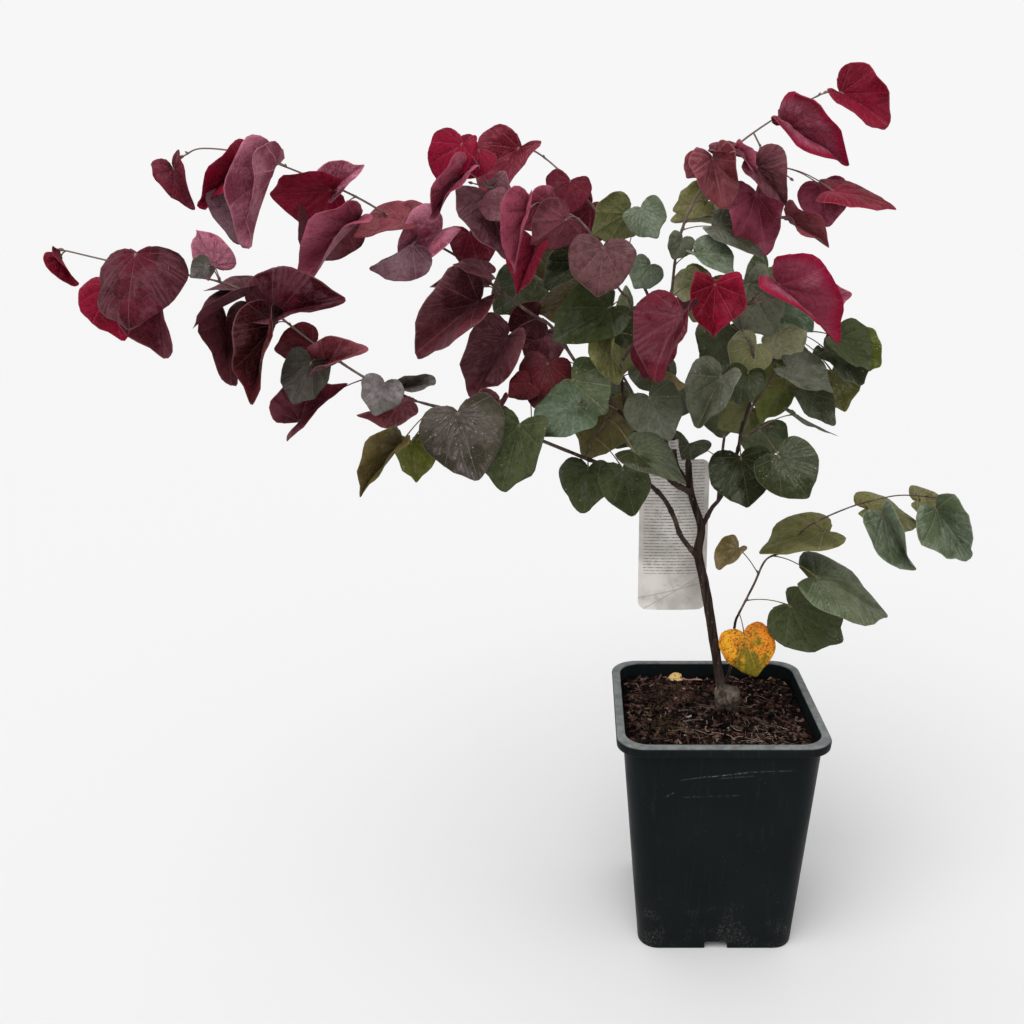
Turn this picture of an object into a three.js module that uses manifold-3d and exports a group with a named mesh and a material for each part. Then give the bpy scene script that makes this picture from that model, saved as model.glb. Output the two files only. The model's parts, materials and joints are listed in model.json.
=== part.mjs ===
// A young redbud in its square nursery pot: pot, soil, trunk, boughs, masses of foliage and a bare tag.
// Millimetres, +Z up, +X to the right, -Y towards the front. The origin is the middle of the pot's
// underside.
import * as THREE from 'three';
import { mergeVertices } from 'three/addons/utils/BufferGeometryUtils.js';
import Module from 'manifold-3d';

const wasm = await Module();
wasm.setup();

// ---- driving sizes ----
const GAP = 0.3; // clear space between neighbouring pieces

const POT_HEIGHT = 254;
const POT_BOTTOM = 167; // outer width of the wall at the ground
const POT_TOP = 206; // outer width of the wall at the brim
const POT_WALL = 2.2;
const POT_FLOOR = 4;
const POT_CORNER_BOTTOM = 20;
const POT_CORNER_TOP = 26;
const RIM_WIDTH = 220;
const RIM_HEIGHT = 11;
const RIM_CORNER = 29;
const NOTCH_WIDTH = 25; // drain notch in the middle of each bottom edge
const NOTCH_HEIGHT = 9;
const NOTCH_DEPTH = 14;
const DRAIN_RADIUS = 6;
const DRAIN_OFFSET = 46; // from the middle, along X and along Y
const DRAIN_SIDES = 16;
const CORNER_STEPS = 5;

const SOIL_LEVEL = 239;
const SOIL_ROUGHNESS = 2.5; // most that the soil rises or dips
const SOIL_CELLS = 9; // squares along each side of the soil's top
const SOIL_SEED = 41;
const TRUNK_CLEARING = 26; // radius of the level ground round the trunk

const LEAF_THICKNESS = 1.0;
const STALK_RADIUS = 0.8;
const STALK_SIDES = 3;
const STALK_STEPS = 2;
const STALK_ARCH = 0.16; // rise of the stalk's middle, in stalk lengths
const STALK_LEAN = 0.45; // how far its foot lies back along the stem, in stalk lengths
const STALK_ROOT = 0.14; // how far it runs on into the blade, in midrib lengths
const STEM_SIDES = 5;
const LIMB_SIDES = 7;
const SPAN_STEPS = 12; // steps along a curve between two of its points
const STEM_STRIDE = 6; // a stem has a ring at every sixth step
const LIMB_STRIDE = 4;
const SMOOTHING = 0.3; // scraps of faces that joining leaves below this size are merged

const TAG_WIDTH = 74;
const TAG_HEIGHT = 168;
const TAG_THICKNESS = 0.9;
const TAG_CORNER = 9;
const TAG_MIDDLE = [-47, 24]; // X and Y of the card
const TAG_TOP = 519;
const TAG_NECK = 11; // width of the strap
const LOOP_WIDTH = 9; // of the strap where it goes round the leader bough
const LOOP_LEVEL = 536;
const LOOP_THICKNESS = 1.2;
const LOOP_SIDES = 16;

const POT_PLASTIC = 0x20262a;
const SOIL = 0x2c1c14;
const BARK = 0x3a2b27;
const TAG_CARD = 0xd8d8d4;

// A blade is about as wide as it is long. REACH runs from the stalk's end to the margin, at every step
// of REACH_STEP degrees from the tip round to the notch at the stalk, in midrib lengths.
const MIDRIB = 0.8; // midrib length in blade lengths
const REACH = [0.88, 0.835, 0.755, 0.675, 0.6, 0.475, 0.27, 0.085, 0];
const REACH_STEP = 22.5;
const TIP_LENGTH = 0.12;
const TIP_SHARPNESS = 9; // degrees
const RIM_ANGLES = [30, 74, 122]; // of the margin's points on each half
const RIDGE = 0.5; // place of the midrib's middle point, in midrib lengths

// Sown leaves keep this far from everything already there, tested at a few points of each blade.
const CLEARANCE = 9;
const TRIES = 10; // poses a sown leaf may try before its node stays bare
const PROBE_ANGLES = 12; // directions of the points tested on a blade
const PROBE_REACHES = [0.3, 0.6, 0.95];

// How a sown leaf may stand: the least and the most of each.
const SOWN_ROUND = [30, 140]; // degrees round the stem, from its upper side to the leaf's side
const SOWN_STALK = [26, 46]; // length
const SOWN_SIZE = [0.82, 1.12]; // of its stem's leaf size
const SOWN_LEAN = [15, 45]; // degrees
const SOWN_TURN = [-40, 40]; // degrees
const SOWN_FOLD = [5, 35]; // degrees
const SOWN_CURL = [8, 33]; // degrees
const SOWN_STEP = [0.85, 1.15]; // to the next node, in pitches
const SOWN_FORWARD = 0.5; // how far its stalk leans along the stem
const NODE_SPACE = 0.4; // a set leaf takes a node this near to it, in pitches
const FACES_BACK = 0.25; // a stalk that runs back by more than this bears a leaf that faces back
const DRAWS = 8; // numbers drawn for each try

// ---- the plant's plan ----
// Each limb tapers from its foot radius to its tip radius along a curve through its points.
const TRUNK = {
  name: 'trunk',
  foot: 6.6,
  tip: 3.4,
  path: [
    [8, 0, 231], [7, 0, 265], [-3, 0, 325], [-13, 2, 381], [-22, 4, 422], [-20, 4, 451],
    [-32, 2, 489], [-36, 0, 524],
  ],
};
const FLARE = {
  foot: 13,
  tip: 6,
  path: [[9, 0, 231], [8, 0, 245], [6, 0, 268]],
};
const STOCK = {
  foot: 12.5,
  tip: 8,
  path: [[15, -4, 231], [17, -5, 250], [20, -7, 270]],
};
const BOUGHS = [
  {
    name: 'bough_low_left',
    foot: 3.4,
    tip: 2.2,
    path: [
      [-22, 3, 417], [-42, -12, 445], [-50, -16, 466], [-59, -20, 484], [-71, -25, 499],
      [-92, -30, 515], [-135, -40, 532], [-157, -45, 542],
    ],
  },
  {
    name: 'bough_high_left',
    foot: 3.6,
    tip: 2.5,
    path: [[-32, 2, 489], [-56, -12, 507], [-73, -20, 542], [-87, -20, 559], [-109, -15, 578]],
  },
  {
    name: 'bough_leader',
    foot: 3.4,
    tip: 2.5,
    path: [[-33, 2, 497], [-46, 12, 514], [-51, 20, 548], [-56, 25, 582], [-58, 30, 606]],
  },
  {
    name: 'bough_right',
    foot: 2.9,
    tip: 2,
    path: [[-20, 4, 449], [-10, 0, 472], [-1, -5, 488], [13, -10, 535], [16, -10, 557], [24, -12, 586]],
  },
  {
    name: 'bough_middle',
    foot: 2.3,
    tip: 1.9,
    path: [[-98, -17, 569], [-103, -6, 590], [-107, 0, 621]],
  },
  {
    name: 'bough_base_shoot',
    foot: 2.2,
    tip: 1.6,
    path: [[6, 2, 262], [18, 9, 290], [21, 12, 337], [25, 12, 351]],
  },
];

// Each mass has stems, leaves set in place and, on its stems, leaves sown by a seeded rule.
// A set leaf is [x, y, z of the stalk's end, blade length, swing, lean, turn, fold, curl]. Swing is the
// midrib's angle from straight down, seen from the front and positive to the right. Lean brings the tip
// forward, turn is about the midrib from facing the front, fold lifts both halves, and curl bends the
// midrib. Angles are degrees.
const MASSES = [
  {
    name: 'foliage_low_left_inner',
    colour: 0x3c4a38,
    stems: [
      {
        foot: 2.2,
        tip: 1.6,
        path: [[-157, -45, 542], [-224, -60, 572], [-300, -80, 598]],
      },
    ],
    leaves: [
      [-314, -100, 560, 74, -40, 17, 25, 72, 10],
      [-308, -72, 557, 49, 10, 21, -34, 34, 10],
      [-258, -112, 593, 80, 18, 19, 0, -8, 12],
      [-203, -98, 579, 79, -17, 19, 10, 40, 12],
      [-195, -50, 610, 31, -60, 18, 20, 20, 10],
      [-222, -80, 597, 56, -16, 16, 30, 55, 10],
    ],
  },
  {
    name: 'foliage_high_left_inner',
    colour: 0x3f2a26,
    stems: [
      {
        foot: 2.4,
        tip: 1.4,
        path: [
          [-109, -15, 578], [-127, -10, 603], [-149, -5, 622], [-174, 0, 658], [-192, 0, 670],
          [-225, -5, 694], [-256, -10, 721], [-289, -20, 742],
        ],
      },
    ],
    leaves: [
      [-178, -44, 629, 56, -15, 14, 0, -12, 10],
      [-150, -72, 592, 68, -66, 15, 54, 6, 10],
      [-155, -50, 614, 59, 48, 18, 0, 8, 20],
      [-242, -12, 699, 62, -93, 8, 75, 25, 10],
      [-232, -62, 714, 42, -108, 8, 75, 10, 10],
      [-244, -36, 686, 99, -54, 14, 22, 62, 10],
      [-218, -24, 651, 84, -33, 15, 16, 54, 8],
      [-190, 14, 667, 42, -69, 14, -10, 30, 10],
      [-145, 32, 698, 72, -59, 11, -50, 25, 10],
    ],
  },
  {
    name: 'foliage_low_left_outer',
    colour: 0x581422,
    stems: [
      {
        foot: 1.6,
        tip: 0.8,
        path: [
          [-300, -80, 598], [-344, -90, 621], [-390, -100, 656], [-427, -115, 691],
          [-457, -130, 710], [-520, -160, 725], [-565, -180, 738],
        ],
      },
    ],
    leaves: [
      [-568, -178, 733, 34, 28, 17, 12, 78, 10],
      [-539, -156, 710, 60, 10, 18, 0, 12, 10],
      [-507, -178, 735, 85, 2, 40, 0, -18, 25],
      [-500, -150, 714, 86, 1, 16, 20, 45, 10],
      [-453, -165, 725, 22, -57, 23, 150, 30, 10],
      [-461, -128, 723, 42, -164, 17, 35, 40, 30],
      [-433, -132, 700, 70, -66, 13, 80, 22, 10],
      [-434, -108, 701, 53, -98, 9, 80, 20, 10],
      [-431, -98, 699, 37, 137, 4, 20, 40, 10],
      [-415, -128, 681, 85, 104, 10, -32, 62, 10],
      [-464, -100, 677, 76, 4, 15, -18, 70, 5],
      [-409, -142, 675, 88, -20, 15, 18, 70, 10],
      [-381, -138, 642, 50, -25, 13, 165, 35, 20],
      [-372, -128, 636, 57, 115, 8, -35, 65, 0],
      [-389, -100, 652, 42, -86, 14, 20, 20, 10],
      [-404, -108, 584, 74, 128, 9, -25, 62, 10],
      [-320, -128, 622, 38, -16, 11, 170, 15, 10],
      [-312, -88, 612, 42, 103, 7, -16, 76, 10],
      [-314, -70, 596, 57, -66, 10, -60, 30, 10],
    ],
  },
  {
    name: 'foliage_high_left_outer',
    colour: 0x6a1c2c,
    stems: [
      {
        foot: 1.4,
        tip: 0.7,
        path: [
          [-289, -20, 742], [-318, -30, 760], [-352, -40, 781], [-389, -50, 798], [-439, -70, 817],
          [-478, -80, 822], [-495, -85, 815],
        ],
      },
    ],
    leaves: [
      [-504, -85, 805, 51, 29, 18, -10, 60, 10],
      [-448, -60, 810, 74, -49, 12, 8, 80, 10],
      [-413, -90, 807, 95, -21, 14, 20, 74, 5],
      [-449, -66, 789, 62, -16, 7, 132, 34, 10],
      [-374, -52, 788, 70, -84, 11, -45, 30, 10],
      [-376, -38, 788, 47, 127, 4, -20, 40, 10],
      [-348, -78, 758, 87, -45, 12, 13, 76, 0],
      [-374, -32, 768, 69, -40, 12, -30, 20, 10],
      [-311, -38, 760, 61, -80, 14, 60, 20, 20],
      [-311, -26, 762, 31, 118, 8, -30, 30, 10],
      [-300, -64, 739, 58, -59, 7, -140, 40, 10],
      [-278, -30, 752, 72, -43, 12, 15, 60, 10],
    ],
  },
  {
    name: 'foliage_centre_front',
    colour: 0x2f3f30,
    stems: [
      {
        foot: 1.5,
        tip: 0.9,
        path: [[-110, -15, 579], [-128, -25, 560], [-142, -35, 536]],
      },
    ],
    leaves: [
      [-139, -38, 524, 56, -6, 19, 6, 36, 10],
      [-105, -50, 526, 58, 15, 19, 0, 34, 10],
      [-96, -68, 548, 75, 67, 14, -70, 12, 15],
      [-118, 10, 584, 81, -22, 8, 0, 45, 10],
    ],
  },
  {
    name: 'foliage_upper_middle',
    colour: 0x66202f,
    stems: [
      {
        foot: 1.9,
        tip: 0.8,
        path: [
          [-107, 0, 621], [-92, -10, 652], [-99, -20, 686], [-111, -25, 700], [-139, -35, 752],
          [-166, -40, 771], [-208, -45, 785], [-246, -50, 794],
        ],
      },
    ],
    leaves: [
      [-118, -44, 682, 79, -61, 15, 25, 45, 5],
      [-252, -64, 827, 54, -29, 17, 35, 35, 10],
      [-249, -74, 802, 69, -38, 8, 8, 82, 0],
      [-239, -46, 823, 40, -38, 15, 0, 20, 10],
      [-233, -40, 784, 78, 18, 15, 0, 50, 10],
      [-213, -62, 773, 34, -97, 12, 20, 25, 10],
      [-253, -10, 750, 49, 15, 16, -10, 24, 10],
      [-192, -88, 771, 75, -14, 15, 16, 80, 5],
      [-188, -58, 736, 60, -22, 16, 14, 72, 10],
      [-171, -56, 775, 45, -51, 14, -10, 25, 10],
      [-159, -74, 762, 48, -56, 1, 170, 20, 20],
      [-126, -80, 738, 60, -6, 29, 0, 12, 30],
      [-119, -52, 654, 55, 6, 8, 28, 66, 8],
      [-54, -72, 678, 84, -29, 15, 48, 42, 10],
      [-106, -10, 668, 37, 6, 20, 0, 10, 10],
    ],
  },
  {
    name: 'foliage_upper_rear',
    colour: 0x5c2a2c,
    stems: [
      {
        foot: 2.4,
        tip: 0.8,
        path: [
          [-58, 30, 606], [-64, 40, 642], [-74, 50, 679], [-85, 55, 702], [-114, 65, 750],
          [-135, 70, 776], [-163, 80, 806], [-189, 85, 827], [-207, 90, 834],
        ],
        sown: {
          seed: 16,
          start: 20,
          stop: 0,
          pitch: 42,
          size: 58,
          swing: 0,
          spread: 40,
          below: 85,
          above: 40,
        },
      },
    ],
    leaves: [
      [-147, 58, 720, 57, -57, 14, -10, 15, 10],
      [-208, 52, 831, 80, -33, 12, 36, 36, 10],
      [-157, 62, 800, 47, -16, 16, 0, 22, 10],
      [-135, 82, 778, 68, -38, 12, -10, 25, 10],
      [-100, 50, 768, 52, -61, 5, 160, 10, 10],
      [-87, 22, 773, 42, 29, 18, 0, 5, 10],
      [-75, 50, 717, 36, -33, 16, 0, 5, 10],
    ],
  },
  {
    name: 'foliage_leader',
    colour: 0x5a1a2c,
    stems: [
      {
        foot: 2.2,
        tip: 0.8,
        path: [
          [-55, 26, 590], [-57, 30, 648], [-54, 30, 693], [-48, 30, 743], [-30, 30, 787],
          [1, 30, 827], [46, 25, 859], [87, 20, 879],
        ],
      },
      {
        foot: 1.1,
        tip: 0.7,
        path: [[22, 28, 843], [34, 24, 822], [48, 18, 808], [58, 14, 800]],
      },
    ],
    leaves: [
      [101, 12, 878, 69, 59, 14, -20, 54, 10],
      [51, 18, 848, 88, 60, 12, -17, 77, 10],
      [-8, 33, 826, 83, 77, 6, -78, 16, 10],
      [-19, 14, 820, 63, 12, 13, 12, 58, 10],
      [-30, 24, 818, 27, -37, 15, 0, 20, 10],
      [27, 29, 787, 75, 10, 13, 10, 45, 5],
      [-19, 56, 780, 44, -81, 10, 30, 15, 10],
      [10, 68, 761, 83, -97, 5, 74, 15, 10],
      [-11, 20, 754, 71, 61, 10, -58, 20, 10],
      [-33, -6, 731, 56, 60, 13, -55, 30, 10],
      [-46, 14, 744, 28, -24, 14, 0, 30, 10],
      [-26, 52, 699, 38, -77, 11, 40, 15, 10],
      [-1, -24, 823, 39, 45, 7, -10, 80, 5],
      [19, -16, 810, 59, 39, 14, -14, 64, 10],
      [93, 34, 793, 49, 9, 11, 10, 15, 5],
      [94, -4, 789, 80, 79, 9, -68, 12, 10],
      [53, -8, 762, 61, 57, 13, -11, 70, 10],
    ],
  },
  {
    name: 'foliage_right_front',
    colour: 0x4a5346,
    stems: [
      {
        foot: 1.8,
        tip: 0.9,
        path: [
          [24, -12, 586], [24, -20, 615], [21, -25, 641], [9, -30, 661], [8, -35, 679],
          [28, -40, 696],
        ],
        sown: {
          seed: 19,
          start: 20,
          stop: 0,
          pitch: 36,
          size: 54,
          swing: 10,
          spread: 40,
          below: 85,
          above: 40,
        },
      },
    ],
    leaves: [
      [-19, -38, 703, 65, -3, 17, 5, 44, 10],
      [35, -70, 705, 96, 48, 14, -17, 66, 10],
      [77, -40, 685, 41, 106, 14, -20, 30, 10],
      [17, -10, 702, 69, 28, 14, 10, 40, 10],
      [-11, -50, 617, 68, -29, 16, 28, 45, 10],
      [4, 15, 659, 59, -28, 14, 0, 10, 10],
      [53, 2, 679, 49, 59, 12, -30, 40, 10],
      [15, -44, 620, 40, -19, 18, 20, 20, 10],
      [26, -20, 644, 45, -41, 18, 0, 10, 20],
    ],
  },
  {
    name: 'foliage_right_rear',
    colour: 0x4d5a34,
    stems: [
      {
        foot: 1.7,
        tip: 0.9,
        path: [[20, -11, 572], [49, 10, 611], [54, 20, 625], [79, 40, 649], [97, 52, 662]],
        sown: {
          seed: 20,
          start: 20,
          stop: 0,
          pitch: 36,
          size: 54,
          swing: 10,
          spread: 40,
          below: 85,
          above: 40,
        },
      },
    ],
    leaves: [
      [116, 22, 646, 56, 48, 14, -25, 40, 10],
      [109, 42, 631, 68, 50, 12, -30, 45, 10],
      [139, 56, 635, 49, 57, 10, -10, 10, 10],
      [61, -2, 620, 65, 66, 13, -58, 15, 10],
      [84, 20, 592, 60, 51, 12, -58, 15, 10],
      [121, 60, 606, 55, 22, 12, 0, 10, 10],
      [65, 26, 602, 63, -34, 5, 175, 50, 10],
      [28, 28, 574, 48, -56, 5, 175, 10, 10],
      [53, 14, 654, 46, 45, 13, -10, 10, 10],
    ],
  },
  {
    name: 'foliage_right_low',
    colour: 0x2d3d34,
    stems: [
      {
        foot: 1.2,
        tip: 0.8,
        path: [[15, -10, 546], [27, -16, 556], [36, -24, 562], [42, -28, 564]],
      },
    ],
    leaves: [
      [14, -26, 532, 65, 10, 20, 0, 8, 10],
      [49, -44, 537, 63, 36, 18, 0, 16, 10],
      [70, -10, 573, 62, 60, 0, 85, 5, 5],
    ],
  },
  {
    name: 'foliage_centre_rear',
    colour: 0x2e3a30,
    stems: [
      {
        foot: 1.4,
        tip: 1,
        path: [[-51, 20, 548], [-56, 25, 582], [-58, 30, 606]],
      },
    ],
    leaves: [
      [-79, -31, 594, 60, 28, 10, 0, 14, 10],
      [-92, 8, 569, 56, 47, 13, -45, 40, 10],
      [-71, 4, 598, 39, 101, 6, -60, 20, 10],
    ],
  },
  {
    name: 'foliage_back_left',
    colour: 0x33392c,
    stems: [
      {
        foot: 2,
        tip: 0.9,
        path: [[-73, -20, 542], [-92, 20, 588], [-128, 70, 640], [-170, 115, 684], [-214, 150, 712]],
        sown: {
          seed: 11,
          start: 20,
          stop: 0,
          pitch: 36,
          size: 62,
          swing: -10,
          spread: 40,
          below: 85,
          above: 40,
        },
      },
    ],
    leaves: [],
  },
  {
    name: 'foliage_back_middle',
    colour: 0x30402f,
    stems: [
      {
        foot: 2,
        tip: 0.9,
        path: [[-50, 18, 545], [-60, 62, 590], [-82, 118, 626], [-104, 170, 650]],
        sown: {
          seed: 13,
          start: 20,
          stop: 0,
          pitch: 34,
          size: 62,
          swing: 0,
          spread: 40,
          below: 85,
          above: 40,
        },
      },
    ],
    leaves: [],
  },
  {
    name: 'foliage_back_right',
    colour: 0x36452f,
    stems: [
      {
        foot: 2,
        tip: 0.9,
        path: [[-4, -2, 481], [6, 40, 540], [24, 90, 604], [38, 140, 660], [44, 180, 700]],
        sown: {
          seed: 12,
          start: 45,
          stop: 0,
          pitch: 36,
          size: 62,
          swing: 10,
          spread: 40,
          below: 85,
          above: 40,
        },
      },
    ],
    leaves: [],
  },
  {
    name: 'foliage_base_shoot',
    colour: 0x3d5538,
    stems: [
      {
        foot: 1.5,
        tip: 0.7,
        path: [
          [25, 12, 351], [39, 10, 384], [50, 5, 414], [68, 0, 426], [89, -5, 453], [126, -10, 474],
          [157, -10, 484], [188, -10, 489], [239, -10, 484],
        ],
      },
    ],
    leaves: [
      [26, -22, 341, 60, 18, 32, 0, -8, 12],
      [75, -10, 368, 85, 56, 12, 8, 40, 10],
      [94, -38, 410, 109, 66, 7, -73, 6, 5],
      [107, -6, 449, 88, -78, 5, 80, 8, 5],
      [21, 12, 425, 41, -49, 13, 42, 48, 10],
      [161, -26, 471, 84, 32, 14, 14, 64, 10],
      [215, -26, 478, 77, 35, 15, 8, 63, 10],
      [156, 12, 469, 73, 75, 2, -76, 6, 5],
      [213, 20, 475, 66, 70, 3, -70, 6, 5],
    ],
  },
];

// ---- numbers and curves ----
const radians = THREE.MathUtils.degToRad;
const vector = (values) => new THREE.Vector3(...values);
const between = ([low, high], share) => low + (high - low) * share;

// Returns a repeatable source of numbers from 0 to 1, by the mulberry32 rule.
function randomFrom(seed) {
  let state = seed >>> 0;
  return () => {
    state = (state + 0x6d2b79f5) >>> 0;
    let mixed = Math.imul(state ^ (state >>> 15), state | 1);
    mixed ^= mixed + Math.imul(mixed ^ (mixed >>> 7), mixed | 61);
    return ((mixed ^ (mixed >>> 14)) >>> 0) / 4294967296;
  };
}

// A smooth line through a few points, with the distance along it at each step.
function lineThrough(path) {
  const curve = new THREE.CatmullRomCurve3(path.map(vector), false, 'catmullrom', 0.5);
  const points = curve.getPoints(SPAN_STEPS * (path.length - 1));
  const run = [0];
  for (let i = 1; i < points.length; i += 1) {
    run.push(run[i - 1] + points[i].distanceTo(points[i - 1]));
  }
  return { points, run, length: run.at(-1) };
}

// The place and direction at a distance along a line.
function placeOn(line, distance) {
  const along = THREE.MathUtils.clamp(distance, 0, line.length);
  let step = 0;
  while (step < line.points.length - 2 && line.run[step + 1] <= along) step += 1;
  const start = line.points[step];
  const end = line.points[step + 1];
  const share = (along - line.run[step]) / (line.run[step + 1] - line.run[step]);
  return {
    point: start.clone().lerp(end, share),
    direction: end.clone().sub(start).normalize(),
  };
}

// The distance along a line at its step nearest to a point.
function nearestOn(line, point) {
  let best = 0;
  line.points.forEach((candidate, step) => {
    if (candidate.distanceTo(point) < line.points[best].distanceTo(point)) best = step;
  });
  return { distance: line.run[best], apart: line.points[best].distanceTo(point) };
}

// ---- solids ----
function geometryFrom(vertices, triangles) {
  const geometry = new THREE.BufferGeometry();
  const places = vertices.flatMap((point) => [point.x, point.y, point.z]);
  geometry.setAttribute('position', new THREE.Float32BufferAttribute(places, 3));
  geometry.setIndex(triangles.flat());
  return geometry;
}

function solidFrom(geometry) {
  const bare = geometry.clone();
  bare.deleteAttribute('normal');
  bare.deleteAttribute('uv');
  const merged = mergeVertices(bare, 1e-4);
  return new wasm.Manifold(
    new wasm.Mesh({
      numProp: 3,
      vertProperties: merged.attributes.position.array,
      triVerts: new Uint32Array(merged.index.array),
    }),
  );
}

function joined(solids) {
  return solids.reduce((whole, solid) => whole.add(solid));
}

// The largest closed piece of a solid, without loose scraps and sealed hollows.
function largestPiece(solid) {
  return solid.decompose().reduce((best, piece) => (piece.volume() > best.volume() ? piece : best));
}

function meshFrom(name, solid, colour, roughness) {
  const mesh = largestPiece(solid.asOriginal().simplify(SMOOTHING)).getMesh();
  const geometry = new THREE.BufferGeometry();
  geometry.setAttribute('position', new THREE.Float32BufferAttribute(mesh.vertProperties, 3));
  geometry.setIndex(new THREE.Uint32BufferAttribute(mesh.triVerts, 1));
  geometry.computeVertexNormals();
  const material = new THREE.MeshStandardMaterial({ color: colour, roughness, metalness: 0 });
  const made = new THREE.Mesh(geometry, material);
  made.name = name;
  return made;
}

// A closed solid through rings of equally many points, flat at both ends.
function loft(rings) {
  const sides = rings[0].length;
  const vertices = rings.flat();
  const triangles = [];
  for (let ring = 0; ring < rings.length - 1; ring += 1) {
    for (let side = 0; side < sides; side += 1) {
      const a = ring * sides + side;
      const b = ring * sides + ((side + 1) % sides);
      triangles.push([a, b, b + sides], [a, b + sides, a + sides]);
    }
  }
  const last = (rings.length - 1) * sides;
  for (let side = 1; side < sides - 1; side += 1) {
    triangles.push([0, side + 1, side], [last, last + side, last + side + 1]);
  }
  return solidFrom(geometryFrom(vertices, triangles));
}

// A round limb along points, with a radius for each of them. Grown, it is fatter and longer by that much.
function tube(points, radii, sides, grown = 0) {
  const rings = [];
  let side = null;
  points.forEach((point, i) => {
    const before = points[Math.max(i - 1, 0)];
    const after = points[Math.min(i + 1, points.length - 1)];
    const direction = after.clone().sub(before).normalize();
    if (!side) side = new THREE.Vector3(0.31, -0.87, 0.38).cross(direction);
    side.addScaledVector(direction, -side.dot(direction)).normalize();
    const up = direction.clone().cross(side);
    const stretch = (i === 0 ? -grown : 0) + (i === points.length - 1 ? grown : 0);
    const centre = point.clone().addScaledVector(direction, stretch);
    const ring = [];
    for (let k = 0; k < sides; k += 1) {
      const angle = (2 * Math.PI * k) / sides;
      ring.push(
        centre
          .clone()
          .addScaledVector(side, (radii[i] + grown) * Math.cos(angle))
          .addScaledVector(up, (radii[i] + grown) * Math.sin(angle)),
      );
    }
    rings.push(ring);
  });
  return loft(rings);
}

// A tube along a line that tapers evenly from its foot to its tip.
function taperedTube(line, foot, tip, sides, stride, grown = 0) {
  const points = line.points.filter((point, step) => step % stride === 0);
  const radii = points.map((point, i) => foot + ((tip - foot) * i) / (points.length - 1));
  return tube(points, radii, sides, grown);
}

// ---- the leaf ----
// Distance from the stalk's end to the margin at an angle from the tip, in midrib lengths.
function reachAt(degrees) {
  const place = Math.abs(degrees) / REACH_STEP;
  const step = Math.min(Math.floor(place), REACH.length - 2);
  const share = place - step;
  const value = (i) => REACH[Math.min(Math.abs(i), REACH.length - 1)];
  const [before, from, to, after] = [step - 1, step, step + 1, step + 2].map(value);
  const slopeFrom = (to - before) / 2;
  const slopeTo = (after - from) / 2;
  const smooth =
    from +
    slopeFrom * share +
    (3 * (to - from) - 2 * slopeFrom - slopeTo) * share ** 2 +
    (2 * (from - to) + slopeFrom + slopeTo) * share ** 3;
  return smooth + TIP_LENGTH * Math.exp(-((degrees / TIP_SHARPNESS) ** 2));
}

class Leaf {
  constructor(base, size, swing, lean, turn, fold, curl) {
    this.base = base;
    this.size = size;
    this.fold = radians(fold);
    this.curl = radians(curl) / size;
    this.midrib = size * MIDRIB;
    const [s, l, t] = [swing, lean, turn].map(radians);
    this.along = vector([Math.sin(s) * Math.cos(l), -Math.sin(l), -Math.cos(s) * Math.cos(l)]);
    const front = vector([0, -1, 0]);
    const facing = front.addScaledVector(this.along, -front.dot(this.along)).normalize();
    const beside = this.along.clone().cross(facing);
    this.normal = facing.multiplyScalar(Math.cos(t)).addScaledVector(beside, Math.sin(t));
    this.across = this.along.clone().cross(this.normal);
  }

  // The place of a point of the flat blade, u along the midrib and w across it.
  place(u, w) {
    const rise = Math.abs(w) * Math.sin(this.fold);
    let along = u;
    let up = rise;
    if (Math.abs(this.curl) > 1e-9) {
      const angle = this.curl * u;
      along = Math.sin(angle) / this.curl + rise * Math.sin(angle);
      up = (Math.cos(angle) - 1) / this.curl + rise * Math.cos(angle);
    }
    return this.base
      .clone()
      .addScaledVector(this.along, along)
      .addScaledVector(this.across, w * Math.cos(this.fold))
      .addScaledVector(this.normal, up);
  }

  margin(degrees, share = 1) {
    const reach = reachAt(degrees) * this.midrib * share;
    return this.place(reach * Math.cos(radians(degrees)), reach * Math.sin(radians(degrees)));
  }

  probes() {
    const points = [];
    for (let k = 1; k <= PROBE_ANGLES; k += 1) {
      const degrees = -180 + (360 * k) / PROBE_ANGLES;
      PROBE_REACHES.forEach((share) => points.push(this.margin(degrees, share)));
    }
    return points;
  }

  solid() {
    const half = (sign) => RIM_ANGLES.map((degrees) => this.margin(sign * degrees));
    const middle = [this.place(0, 0), this.place(RIDGE * this.midrib, 0), this.place(this.midrib, 0)];
    const sheet = [...middle, ...half(1), ...half(-1)];
    const fan = (first) => [
      [1, 2, first],
      [1, first, first + 1],
      [0, 1, first + 1],
      [0, first + 1, first + 2],
    ];
    const left = 3;
    const right = left + RIM_ANGLES.length;
    const upper = [...fan(left).map(([a, b, c]) => [a, c, b]), ...fan(right)];
    const normals = sheet.map(() => new THREE.Vector3());
    upper.forEach(([a, b, c]) => {
      const edge = sheet[b].clone().sub(sheet[a]);
      const normal = edge.cross(sheet[c].clone().sub(sheet[a]));
      [a, b, c].forEach((i) => normals[i].add(normal));
    });
    const shift = (sign) =>
      sheet.map((point, i) => {
        const normal = normals[i].normalize();
        return point.clone().addScaledVector(normal, (sign * LEAF_THICKNESS) / 2);
      });
    const count = sheet.length;
    const lower = upper.map(([a, b, c]) => [a + count, c + count, b + count]);
    const rim = RIM_ANGLES.map((degrees, i) => right + i);
    const loop = [2, ...rim, 0, ...rim.map((i) => i - RIM_ANGLES.length).reverse()];
    const edge = loop.flatMap((a, i) => {
      const b = loop[(i + 1) % loop.length];
      return [
        [b, a, a + count],
        [b, a + count, b + count],
      ];
    });
    return solidFrom(geometryFrom([...shift(1), ...shift(-1)], [...upper, ...lower, ...edge]));
  }
}

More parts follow.
